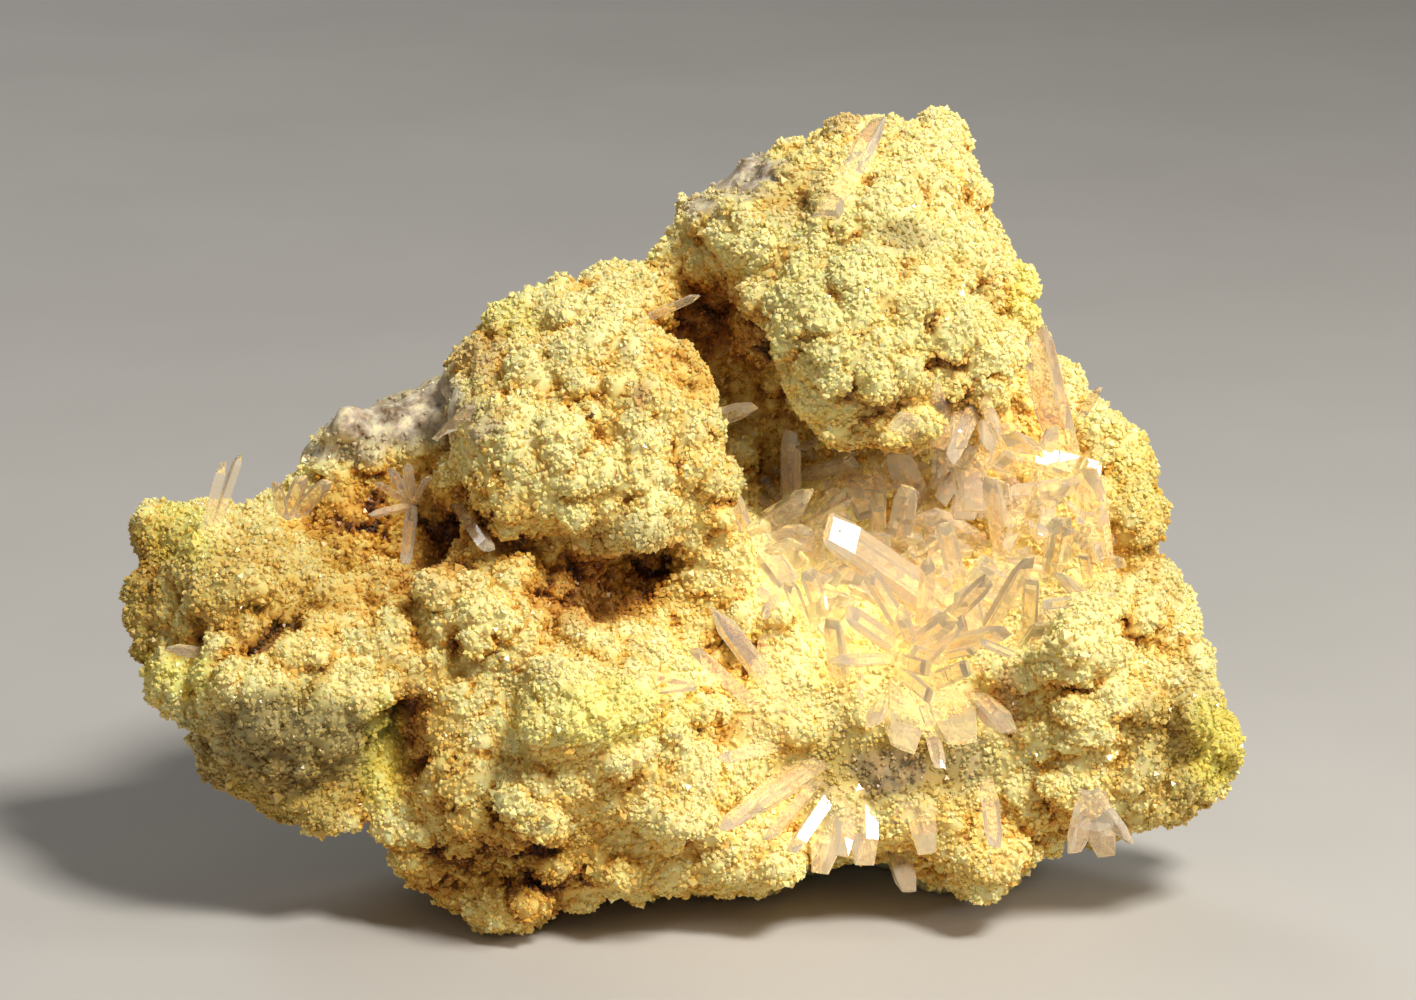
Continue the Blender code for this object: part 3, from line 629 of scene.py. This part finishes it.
def add_relief(rock):
    """The clumps of the druse, the scoops of the back and the ledges of the slabs."""
    points = points_of(rock.data)
    druse = druse_weight(points)
    broken = broken_weight(points)
    scoops, ridge = broken_relief(points)
    cell_mm, height_mm, seed = BACK_CRUMBS
    height = (1 - druse) * ((value_noise(points, cell_mm, seed) - 0.5) * height_mm + scoops)
    ledges = np.zeros(len(points))
    for cell_mm, stretch, seed, share in SLAB_LAYERS:
        ledges += share * value_noise(points * (1.0, 1.0, stretch), cell_mm, seed)
    height += broken * (ledges - SLAB_LEVEL) * SLAB_LEDGE_MM
    rise, clump_crease_shade = clumps(points)
    rise *= druse * (1 - broken) * (1.0 - crust_weight(points))
    # The creases between the clumps, for painted shade in them.
    set_attribute(rock.data, "clump_crease_shade", clump_crease_shade * druse * (1 - broken))
    set_attribute(rock.data, "ridge", ridge)
    move = (height + rise)[:, None] * MM
    set_points(rock.data, keep_base(points + normals_of(rock.data) * move, points))
    set_points(rock.data, near_the_frame(points_of(rock.data)))


def build_rock():
    """The rock with its druse as real geometry, without the grains."""
    rock = new_object("matrix_druse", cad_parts["matrix"].data.copy())
    rough_out(rock, np.random.default_rng(SEED))
    add_relief(rock)
    rock.data.materials.clear()
    for polygon in rock.data.polygons:
        polygon.use_smooth = True
    return rock


def look_directions(count):
    """Even directions on a sphere."""
    numbers = np.arange(count) + 0.5
    z = 1 - 2 * numbers / count
    turn = math.pi * (1 + math.sqrt(5)) * numbers
    flat = np.sqrt(1 - z * z)
    return np.stack([flat * np.cos(turn), flat * np.sin(turn), z], 1)


def shade(points, normals, tree):
    """How closed in each point is, from 0 in the open to 1 in a hole, and how far into a narrow crease."""
    directions = look_directions(SHADE_RAYS)
    facing = normals @ directions.T
    closed = np.zeros(len(points))
    crease = np.zeros(len(points))
    reach = SHADE_REACH_MM * MM
    near = CREASE_REACH_MM * MM
    vectors = [Vector(direction) for direction in directions]
    for index in range(len(points)):
        start = Vector(points[index]) + Vector(normals[index]) * SHADE_START_MM * MM
        total = 0.0
        hit_total = 0.0
        near_total = 0.0
        for number, weight in enumerate(facing[index]):
            if weight < SHADE_LEAST_FACING:
                continue
            total += weight
            distance = tree.ray_cast(start, vectors[number], reach)[3]
            if distance is not None:
                hit_total += weight * (1.0 - SHADE_FAR_LOSS * distance / reach)
                if distance < near:
                    near_total += weight * (1.0 - CREASE_FAR_LOSS * distance / near)
        closed[index] = hit_total / total
        crease[index] = near_total / total
    return closed, crease


def rock_attributes(mesh, tree):
    """What the materials read at each point of the rock."""
    points = points_of(mesh)
    normals = normals_of(mesh)
    clump_crease_shade = np.empty(len(points), np.float32)
    mesh.attributes["clump_crease_shade"].data.foreach_get("value", clump_crease_shade)
    px, py = to_pixels(points)
    rough = layered_noise(points, MARK_NOISE)
    druse = druse_weight(points)
    seen = druse * smooth_step(normals @ np.array(face_out), *SEEN_TURN)
    closed, crease = shade(points, normals, tree)
    # The first three darken the colour as painted shade in hollows, in creases and on undersides; some of the
    # marks paint shade or light as well.
    return {
        "closed": closed,
        "crease": crease,
        "under": smooth_step(-normals[:, 2], *UNDERSIDE_SHADE_TURN),
        "druse": druse,
        "lemon_and_light": marks(px, py, rough, LEMON_AND_LIGHT_MARKS) * seen,
        "rust_and_shade": marks(px, py, rough, RUST_AND_SHADE_MARKS) * seen,
        "grey": marks(px, py, rough, GREY_MARKS) * np.maximum(seen, GREY_BEHIND),
        "green": marks(px, py, rough, GREEN_MARKS) * seen,
        "painted_shade": marks(px, py, rough, PAINTED_SHADE_MARKS) * druse,
        "honey_and_shade": marks(px, py, rough, HONEY_AND_SHADE_MARKS) * seen,
        "broken": marks(px, py, rough, BROKEN_MARKS),
        "clump_crease_shade": clump_crease_shade,
    }


# The grains of the druse.
OCTAHEDRON = np.array([(1, 0, 0), (-1, 0, 0), (0, 1, 0), (0, -1, 0), (0, 0, 1), (0, 0, -1)], float)
OCTAHEDRON_FACES = np.array(
    [(0, 2, 4), (2, 1, 4), (1, 3, 4), (3, 0, 4), (2, 0, 5), (1, 2, 5), (3, 1, 5), (0, 3, 5)]
)


def random_turns(rng, count):
    """Random rotation matrices."""
    q = rng.normal(size=(count, 4))
    q /= np.linalg.norm(q, axis=1)[:, None]
    w, x, y, z = q.T
    rows = [
        [1 - 2 * (y * y + z * z), 2 * (x * y - z * w), 2 * (x * z + y * w)],
        [2 * (x * y + z * w), 1 - 2 * (x * x + z * z), 2 * (y * z - x * w)],
        [2 * (x * z - y * w), 2 * (y * z + x * w), 1 - 2 * (x * x + y * y)],
    ]
    return np.array(rows).transpose(2, 0, 1)


def build_grains(rock, values):
    """Little blocky crystals all over the druse, in a few joined pieces."""
    rng = np.random.default_rng(SEED + 1)
    mesh = rock.data
    corners = triangles_of(mesh)
    points = points_of(mesh)
    a, b, c = (points[corners[:, k]] for k in range(3))
    cross = np.cross(b - a, c - a)
    area = np.linalg.norm(cross, axis=1) / 2
    facing = cross / (2 * area[:, None] + 1e-18)
    weight = area * values["druse"][corners].mean(1)
    weight *= (a[:, 2] > BASE_CLEAR_MM * MM)
    weight *= 1.0 - GRAIN_GREY_LOSS * values["grey"][corners].mean(1)
    weight *= 1.0 - GRAIN_BROKEN_LOSS * values["broken"][corners].mean(1)
    sums = np.cumsum(weight)
    chosen = np.searchsorted(sums, rng.random(GRAIN_COUNT) * sums[-1])
    r1 = np.sqrt(rng.random(GRAIN_COUNT))
    r2 = rng.random(GRAIN_COUNT)
    shares = np.stack([1 - r1, r1 * (1 - r2), r1 * r2], 1)
    place = (points[corners[chosen]] * shares[:, :, None]).sum(1)
    size = GRAIN_MM * MM * np.exp(rng.normal(0, GRAIN_SPREAD, GRAIN_COUNT))
    stretch = rng.uniform(*GRAIN_STRETCH, (GRAIN_COUNT, 3)) * size[:, None] * 0.5
    place = place + facing[chosen] * (size * rng.uniform(*GRAIN_OUT, GRAIN_COUNT))[:, None]
    turns = random_turns(rng, GRAIN_COUNT)
    tint = rng.random(GRAIN_COUNT)
    order = np.argsort(place[:, 0])
    made = []
    for number, part in enumerate(np.array_split(order, GRAIN_PIECES)):
        local = OCTAHEDRON[None] * stretch[part][:, None, :]
        verts = np.einsum("nij,nkj->nki", turns[part], local) + place[part][:, None, :]
        verts[:, :, 2] = np.maximum(verts[:, :, 2], GRAIN_FLOOR_MM * MM)
        offsets = np.arange(len(part))[:, None, None] * len(OCTAHEDRON)
        triangles = (OCTAHEDRON_FACES[None] + offsets).reshape(-1, 3)
        piece = new_object(
            "druse_grains_%d" % (number + 1),
            mesh_from_triangles("druse_grains", verts.reshape(-1, 3), triangles),
        )
        # The grains take the rock's attributes where they stand, the painted shade and light among them.
        for name, field in values.items():
            at_grain = (field[corners[chosen[part]]] * shares[part]).sum(1)
            set_attribute(piece.data, name, np.repeat(at_grain, len(OCTAHEDRON)))
        set_attribute(piece.data, "tint", np.repeat(tint[part], len(OCTAHEDRON)))
        piece.data.shade_flat()
        made.append(piece)
    return made


# Crystals that fill the hollow between those of the frame. Their cross-section is in half widths and half
# depths.
CROSS_SECTION = (
    (1.0, 0.35), (0.72, 1.0), (-0.72, 1.0), (-1.0, 0.35), (-1.0, -0.35), (-0.72, -1.0), (0.72, -1.0),
    (1.0, -0.35),
)

# How deep a root lies in the rock, the depth as a share of the width, where the shoulder stands, and the
# chisel's length as a share of the width, with its most as a share of the crystal's length.
CRYSTAL_ROOT_MM = 1.2
CRYSTAL_DEPTH = (0.45, 0.75)
CRYSTAL_SHOULDER = (0.35, 0.7)
CRYSTAL_CHISEL = (0.5, 0.95)
CHISEL_MOST = 0.3

# The bright crystal in the hollow's mouth: where its root is looked for, its tip and its width.
BRIGHT_CRYSTAL = ((28.5, 32.3), (14.9, 41.6, 12.9), 3.9)

# The small crystals: how many are tried, the region of the face that they stand in, the steepest overhang,
# where they point, how far they stray from it along each axis, and their lengths and widths.
EXTRA_SEED = 5
EXTRA_COUNT = 190
EXTRA_MIDDLE = (26.0, 40.0)
EXTRA_RADII = (18.0, 14.0)
EXTRA_START_MM = 12.5
EXTRA_LOWEST_SLOPE = -0.45
EXTRA_FOCUS = (25.0, 38.0, 26.0)
EXTRA_STRAYS = (0.55, 0.3, 0.55)
EXTRA_LENGTHS_MM = (4.0, 9.0)
EXTRA_WIDTHS_MM = (0.9, 2.8)

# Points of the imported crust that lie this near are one, so that its mesh is closed.
CRUST_WELD_M = 0.0000005


class Draw:
    """Seeded draws in the order they are asked for."""

    def __init__(self, seed):
        self.rng = np.random.default_rng(seed)

    def uniform(self, low, high):
        return float(self.rng.uniform(low, high))

    def gauss(self, spread):
        return float(self.rng.normal(0.0, spread))


def crystal_rings(width, depth, length, chisel, draw):
    """The crystal's cross-sections from its root to its tip, as (half width, half depth, height)."""
    shoulder = (length - chisel) * draw.uniform(*CRYSTAL_SHOULDER)
    return [
        (0.55 * width, 0.55 * depth, 0.0),
        (0.52 * width, 0.52 * depth, shoulder),
        (0.5 * width, 0.5 * depth, shoulder + 0.02 * length),
        (0.5 * width, 0.5 * depth, length - chisel),
        (0.43 * width, 0.14 * depth, length - 0.06 * chisel),
        (0.38 * width, 0.08 * depth, length),
    ]


def roll_towards(axis, facing):
    """The roll that turns a crystal's broad side to this direction."""
    local = axis.to_track_quat("Z", "Y").inverted() @ facing
    return math.atan2(-local.x, local.y)


def crystal_object(name, root, tip, width_mm, roll, draw):
    """One chisel-tipped crystal, with its root in the rock."""
    axis = tip - root
    start = root - axis.normalized() * CRYSTAL_ROOT_MM * MM
    length = (tip - start).length
    width = width_mm * MM
    depth = width * draw.uniform(*CRYSTAL_DEPTH)
    chisel = min(width * draw.uniform(*CRYSTAL_CHISEL), CHISEL_MOST * length)
    turn = Matrix.Translation(start) @ axis.to_track_quat("Z", "Y").to_matrix().to_4x4()
    turn = turn @ Matrix.Rotation(roll, 4, "Z")
    bm = bmesh.new()
    rings = []
    for half_width, half_depth, height in crystal_rings(width, depth, length, chisel, draw):
        corners = [turn @ Vector((x * half_width, y * half_depth, height)) for x, y in CROSS_SECTION]
        rings.append([bm.verts.new(corner) for corner in corners])
    count = len(CROSS_SECTION)
    for low, high in zip(rings, rings[1:]):
        for k in range(count):
            bm.faces.new((low[k], low[(k + 1) % count], high[(k + 1) % count], high[k]))
    bm.faces.new(list(reversed(rings[0])))
    bm.faces.new(rings[-1])
    mesh = bpy.data.meshes.new(name)
    bm.to_mesh(mesh)
    bm.free()
    return new_object(name, mesh)


def bright_crystal(tree, draw):
    """The bright crystal, its broad side half way between the camera and its lamp."""
    (across, up), tip, width_mm = BRIGHT_CRYSTAL
    root = tree.ray_cast(to_world(across, up, EXTRA_START_MM), -face_out)[0]
    tip = to_world(*tip)
    to_camera = (camera.location - tip).normalized()
    to_lamp = (Vector(GLINT_PLACE) - tip).normalized()
    roll = roll_towards(tip - root, to_camera + to_lamp)
    return crystal_object("bright_crystal", root, tip, width_mm, roll, draw)


def small_crystals(tree):
    """The bright crystal and those that fill the hollow between the large ones, as one object each."""
    draw = Draw(EXTRA_SEED)
    made = [bright_crystal(tree, draw)]
    for _ in range(EXTRA_COUNT):
        angle = draw.uniform(0, 2 * math.pi)
        reach = math.sqrt(draw.uniform(0, 1))
        across = EXTRA_MIDDLE[0] + EXTRA_RADII[0] * reach * math.cos(angle)
        up = EXTRA_MIDDLE[1] + EXTRA_RADII[1] * reach * math.sin(angle)
        root, normal = tree.ray_cast(to_world(across, up, EXTRA_START_MM), -face_out)[:2]
        if root is None or normal.z < EXTRA_LOWEST_SLOPE:
            continue
        aim = (to_world(*EXTRA_FOCUS) - root).normalized()
        stray = Vector([draw.gauss(spread) for spread in EXTRA_STRAYS])
        heading = (aim + stray).normalized()
        length = draw.uniform(*EXTRA_LENGTHS_MM)
        width = draw.uniform(*EXTRA_WIDTHS_MM)
        roll = draw.uniform(0, math.pi)
        made.append(crystal_object("small_crystal", root, root + heading * length * MM, width, roll, draw))
    return made


def build_hollow_crystals(tree):
    """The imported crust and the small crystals, grown into one clear solid."""
    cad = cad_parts["hollow_crystal_crust"]
    crust = new_object("hollow_crystals", cad.data.copy())
    weld(crust, CRUST_WELD_M)
    added = small_crystals(tree)
    for crystal in added:
        modifier = crust.modifiers.new("join", "BOOLEAN")
        modifier.operation = "UNION"
        # The exact solver leaves a few open edges here, and this one leaves none.
        modifier.solver = "MANIFOLD"
        modifier.object = crystal
    apply_modifiers(crust)
    for crystal in added:
        mesh = crystal.data
        bpy.data.objects.remove(crystal)
        bpy.data.meshes.remove(mesh)
    crust.data.shade_flat()
    crust.data.materials.clear()
    return crust


# Materials.
class Nodes:
    """Short ways to add and join nodes of one material."""

    def __init__(self, name):
        self.material = bpy.data.materials.new(name)
        self.material.use_nodes = True
        self.tree = self.material.node_tree
        self.shader = self.tree.nodes["Principled BSDF"]

    def link(self, source, target):
        self.tree.links.new(source, target)

    def attribute(self, name):
        node = self.tree.nodes.new("ShaderNodeAttribute")
        node.attribute_name = name
        return node.outputs["Fac"]

    def noise(self, scale_mm, detail=3.0, rough=0.6):
        place = self.tree.nodes.new("ShaderNodeTexCoord")
        node = self.tree.nodes.new("ShaderNodeTexNoise")
        node.inputs["Scale"].default_value = 1.0 / (scale_mm * MM)
        node.inputs["Detail"].default_value = detail
        node.inputs["Roughness"].default_value = rough
        self.link(place.outputs["Object"], node.inputs["Vector"])
        return node.outputs["Fac"]

    def math(self, kind, first, second=None, third=None):
        node = self.tree.nodes.new("ShaderNodeMath")
        node.operation = kind
        for socket, value in zip(node.inputs, (first, second, third)):
            if isinstance(value, (int, float)):
                socket.default_value = value
            elif value is not None:
                self.link(value, socket)
        return node.outputs[0]

    def scaled(self, value, from_low, from_high, to_low=0.0, to_high=1.0):
        node = self.tree.nodes.new("ShaderNodeMapRange")
        self.link(value, node.inputs["Value"])
        for name, number in (
            ("From Min", from_low), ("From Max", from_high), ("To Min", to_low), ("To Max", to_high),
        ):
            node.inputs[name].default_value = number
        return node.outputs["Result"]

    def ramp(self, value, stops):
        node = self.tree.nodes.new("ShaderNodeValToRGB")
        elements = node.color_ramp.elements
        while len(elements) < len(stops):
            elements.new(0.5)
        for element, (place, colour) in zip(elements, stops):
            element.position = place
            element.color = (*colour, 1.0)
        self.link(value, node.inputs["Fac"])
        return node.outputs["Color"]

    def mix(self, share, first, second, kind="MIX"):
        node = self.tree.nodes.new("ShaderNodeMix")
        node.data_type = "RGBA"
        node.blend_type = kind
        for socket, value in ((node.inputs[0], share), (node.inputs[6], first), (node.inputs[7], second)):
            if isinstance(value, tuple):
                socket.default_value = (*value, 1.0)
            elif isinstance(value, (int, float)):
                socket.default_value = value
            else:
                self.link(value, socket)
        return node.outputs[2]

    def bump(self, height, strength, distance_mm):
        node = self.tree.nodes.new("ShaderNodeBump")
        node.inputs["Strength"].default_value = strength
        node.inputs["Distance"].default_value = distance_mm * MM
        self.link(height, node.inputs["Height"])
        self.link(node.outputs["Normal"], self.shader.inputs["Normal"])

    def glow(self, weight, colour, reach_mm):
        """Lets light spread under the surface."""
        self.shader.inputs["Subsurface Weight"].default_value = weight
        self.shader.inputs["Subsurface Radius"].default_value = colour
        self.shader.inputs["Subsurface Scale"].default_value = reach_mm * MM


CREAM = (0.94, 0.80, 0.36)
STRAW = (0.87, 0.61, 0.17)
HONEY = (0.65, 0.34, 0.045)
PAINTED_SHADE_BROWN = (0.33, 0.25, 0.055)
SHADE_BROWN = (0.27, 0.09, 0.01)
DEEP_SHADE_BROWN = (0.06, 0.018, 0.004)
LEMON = (0.90, 0.82, 0.12)
RUST_AND_SHADE_BROWN = (0.36, 0.13, 0.02)
GREY = (0.30, 0.21, 0.10)
GREENISH = (0.76, 0.70, 0.30)
SLAB_BROWN = (0.22, 0.15, 0.08)
SLAB_GREY = (0.52, 0.44, 0.33)
SLAB_CREAM = (0.84, 0.76, 0.52)
BACK_TAN = (0.46, 0.38, 0.24)
BACK_GREY = (0.27, 0.22, 0.15)
BACK_YELLOW = (0.62, 0.52, 0.26)
BACK_PALE = (0.74, 0.67, 0.47)
DARK_GREY = (0.12, 0.10, 0.08)
BACK_SPECK = (0.16, 0.12, 0.08)
CLEAR_TINT = (1.0, 0.92, 0.78)
CLOUDY_TINT = (1.0, 0.85, 0.62)

# How much each attribute adds to the depth of the druse's colour, the noises that shift it as cell size and
# swing, and the colours along it. The depth is mostly painted shade: the colour darkens towards brown in
# hollows, in creases and on undersides.
CLOSED_SHADE_SHARE = 0.75
CREASE_SHADE_SHARE = 0.7
SHADE_DEPTH_SHARES = (("clump_crease_shade", 0.13), ("under", 0.25), ("honey_and_shade", 0.34))
PATCH_MM = 5.0
PATCH_SWING = 0.12
FINE_MM = 1.1
FINE_SWING = 0.06
GRAIN_TINT_SHARE = 0.12
TONE_AND_SHADE_STOPS = ((0.12, CREAM), (0.38, STRAW), (0.62, HONEY), (0.84, SHADE_BROWN), (1.0, DEEP_SHADE_BROWN))

# Colours laid over it: the attribute, its strength and the colour. Of these, the first is painted shade, the
# second partly painted light and the third partly painted shade.
OVERLAYS = (("painted_shade", 0.68, PAINTED_SHADE_BROWN), ("lemon_and_light", 0.4, LEMON), ("rust_and_shade", 0.7, RUST_AND_SHADE_BROWN))
GREY_SHARE = 0.85
SLAB_STOPS = ((0.36, SLAB_BROWN), (0.5, SLAB_GREY), (0.62, SLAB_CREAM))

# The broken back: how much lighter its ridges are painted, and the colours from its scoops to its ridges, as
# painted shade in the scoops and painted light on the ridges.
RIDGE_LIGHT_SHARE = 0.22
BACK_STOPS = ((0.42, BACK_GREY), (0.55, BACK_TAN), (0.66, BACK_YELLOW), (0.8, BACK_PALE))

# How light spreads under the surface: its weight, its colour and its reach in millimetres.
ROCK_GLOW = (0.6, (1.0, 0.52, 0.13), 2.0)
GRAIN_GLOW = (0.5, (1.0, 0.6, 0.2), 0.35)
GRAIN_SPECULAR = 0.35

# Clear celestite.
CRYSTAL_TRANSMISSION = 0.84
CRYSTAL_IOR = 1.62
CRYSTAL_STOPS = ((0.3, CLEAR_TINT), (0.75, CLOUDY_TINT))


def druse_colour(nodes, tint_share):
    """Cream on the crests, darker towards brown in hollows, creases and undersides as painted shade, with the
    marks laid over.
    """
    closed = nodes.attribute("closed")
    crease = nodes.attribute("crease")
    patches = nodes.noise(PATCH_MM)
    fine = nodes.noise(FINE_MM)
    # The depth is mostly painted shade: hollows, creases, undersides and some marked places go towards brown.
    depth = nodes.math("MULTIPLY_ADD", closed, CLOSED_SHADE_SHARE, nodes.math("MULTIPLY", crease, CREASE_SHADE_SHARE))
    for name, share in SHADE_DEPTH_SHARES:
        depth = nodes.math("MULTIPLY_ADD", nodes.attribute(name), share, depth)
    depth = nodes.math("ADD", depth, nodes.scaled(patches, 0.3, 0.7, -PATCH_SWING, PATCH_SWING))
    depth = nodes.math("ADD", depth, nodes.scaled(fine, 0.3, 0.7, -FINE_SWING, FINE_SWING))
    if tint_share:
        tint = nodes.scaled(nodes.attribute("tint"), 0.0, 1.0, -tint_share, tint_share)
        depth = nodes.math("ADD", depth, tint)
    colour = nodes.ramp(depth, TONE_AND_SHADE_STOPS)
    open_share = nodes.scaled(depth, 0.25, 0.75, 0.7, 0.1)
    colour = nodes.mix(nodes.math("MULTIPLY", nodes.attribute("green"), open_share), colour, GREENISH)
    for name, share, over in OVERLAYS:
        colour = nodes.mix(nodes.math("MULTIPLY", nodes.attribute(name), share), colour, over)
    grey = nodes.mix(nodes.scaled(fine, 0.35, 0.6), DARK_GREY, GREY)
    colour = nodes.mix(nodes.math("MULTIPLY", nodes.attribute("grey"), GREY_SHARE), colour, grey)
    slab = nodes.ramp(nodes.noise(1.8, 5.0, 0.7), SLAB_STOPS)
    return nodes.mix(nodes.attribute("broken"), colour, slab)


def rock_material():
    nodes = Nodes("yellow_matrix")
    front = druse_colour(nodes, 0.0)
    veins = nodes.noise(7.0, 8.0, 0.72)
    specks = nodes.noise(0.9, 2.0, 0.5)
    veins_and_ridge_light = nodes.math("MULTIPLY_ADD", nodes.attribute("ridge"), RIDGE_LIGHT_SHARE, veins)
    back = nodes.ramp(veins_and_ridge_light, BACK_STOPS)
    back = nodes.mix(nodes.scaled(specks, 0.64, 0.74), back, BACK_SPECK)
    colour = nodes.mix(nodes.attribute("druse"), back, front)
    nodes.link(colour, nodes.shader.inputs["Base Color"])
    rough = nodes.scaled(specks, 0.3, 0.7, 0.55, 0.9)
    nodes.link(rough, nodes.shader.inputs["Roughness"])
    nodes.bump(nodes.noise(0.5, 4.0, 0.7), 0.4, 0.15)
    nodes.glow(*ROCK_GLOW)
    return nodes.material


def grain_material():
    nodes = Nodes("sugary_druse")
    colour = druse_colour(nodes, GRAIN_TINT_SHARE)
    nodes.link(colour, nodes.shader.inputs["Base Color"])
    rough = nodes.scaled(nodes.attribute("tint"), 0.0, 1.0, 0.16, 0.6)
    nodes.link(rough, nodes.shader.inputs["Roughness"])
    nodes.shader.inputs["Specular IOR Level"].default_value = GRAIN_SPECULAR
    nodes.glow(*GRAIN_GLOW)
    return nodes.material


def crystal_material():
    nodes = Nodes("clear_celestite")
    shader = nodes.shader
    cloudy = nodes.noise(3.0, 4.0, 0.6)
    colour = nodes.ramp(cloudy, CRYSTAL_STOPS)
    nodes.link(colour, shader.inputs["Base Color"])
    nodes.link(nodes.scaled(cloudy, 0.4, 0.8, 0.0, 0.10), shader.inputs["Roughness"])
    shader.inputs["Transmission Weight"].default_value = CRYSTAL_TRANSMISSION
    shader.inputs["IOR"].default_value = CRYSTAL_IOR
    return nodes.material


rock = build_rock()
rock_tree = tree_of([rock.data])
values = rock_attributes(rock.data, rock_tree)
for name, field in values.items():
    set_attribute(rock.data, name, field)
rock.data.materials.append(rock_material())
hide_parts("matrix")
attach(rock, "root")

druse_look = grain_material()
for piece in build_grains(rock, values):
    piece.data.materials.append(druse_look)
    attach(piece, "root")

crystal_look = crystal_material()
hollow = build_hollow_crystals(rock_tree)
hollow.data.materials.append(crystal_look)
hollow.visible_shadow = False
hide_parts("hollow_crystal_crust")
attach(hollow, "root")

for node in loose_crystals():
    node.material_slots[0].material = crystal_look
    node.visible_shadow = False


# The floor and the light. Each lamp has its place and size in metres, its power and its colour.
FLOOR_HALF_M = 4.0
FLOOR_MOTTLE_MM = 60.0
FLOOR_STOPS = ((0.3, (0.50, 0.49, 0.47)), (0.7, (0.53, 0.52, 0.50)))
FLOOR_ROUGHNESS = 0.7
LAMP_AIM = (0.0, 0.0, 0.035)
LAMPS = (
    ("key_light", (0.25, -0.34, 0.54), 0.14, 5.1, (1.0, 0.95, 0.87)),
    ("front_softbox", (-0.15, -1.05, 0.42), 0.9, 1.35, (1.0, 0.93, 0.82)),
    ("glint_light", GLINT_PLACE, 0.1, 0.7, (1.0, 0.97, 0.93)),
    ("rim_light", (-0.35, 0.6, 0.5), 0.4, 1.2, (1.0, 1.0, 1.0)),
)
SKY_COLOUR = (1.0, 0.95, 0.88)
SKY_STRENGTH = 0.095

# Light passes through many crystal faces in the hollow.
CLEAR_BOUNCES = 32
GLOSSY_BOUNCES = 16
BRIGHTEST_BOUNCE = 0.9


def add_floor():
    mesh = bpy.data.meshes.new("floor")
    half = FLOOR_HALF_M
    corners = [(-half, -half, 0), (half, -half, 0), (half, half, 0), (-half, half, 0)]
    mesh.from_pydata(corners, [], [(0, 1, 2, 3)])
    floor = new_object("floor", mesh)
    nodes = Nodes("pale_floor")
    nodes.link(nodes.ramp(nodes.noise(FLOOR_MOTTLE_MM), FLOOR_STOPS), nodes.shader.inputs["Base Color"])
    nodes.shader.inputs["Roughness"].default_value = FLOOR_ROUGHNESS
    mesh.materials.append(nodes.material)


def add_light(name, place, size, power, colour):
    data = bpy.data.lights.new(name, "AREA")
    data.size = size
    data.energy = power
    data.color = colour
    lamp = new_object(name, data)
    lamp.location = place
    lamp.rotation_euler = (Vector(place) - Vector(LAMP_AIM)).to_track_quat("Z", "Y").to_euler()


add_floor()
for lamp in LAMPS:
    add_light(*lamp)
world = bpy.data.worlds.new("studio")
world.use_nodes = True
sky = world.node_tree.nodes["Background"]
sky.inputs["Color"].default_value = (*SKY_COLOUR, 1.0)
sky.inputs["Strength"].default_value = SKY_STRENGTH
scene = bpy.context.scene
scene.world = world
scene.view_settings.view_transform = "Standard"
scene.cycles.max_bounces = CLEAR_BOUNCES
scene.cycles.transmission_bounces = CLEAR_BOUNCES
scene.cycles.glossy_bounces = GLOSSY_BOUNCES
scene.cycles.sample_clamp_indirect = BRIGHTEST_BOUNCE
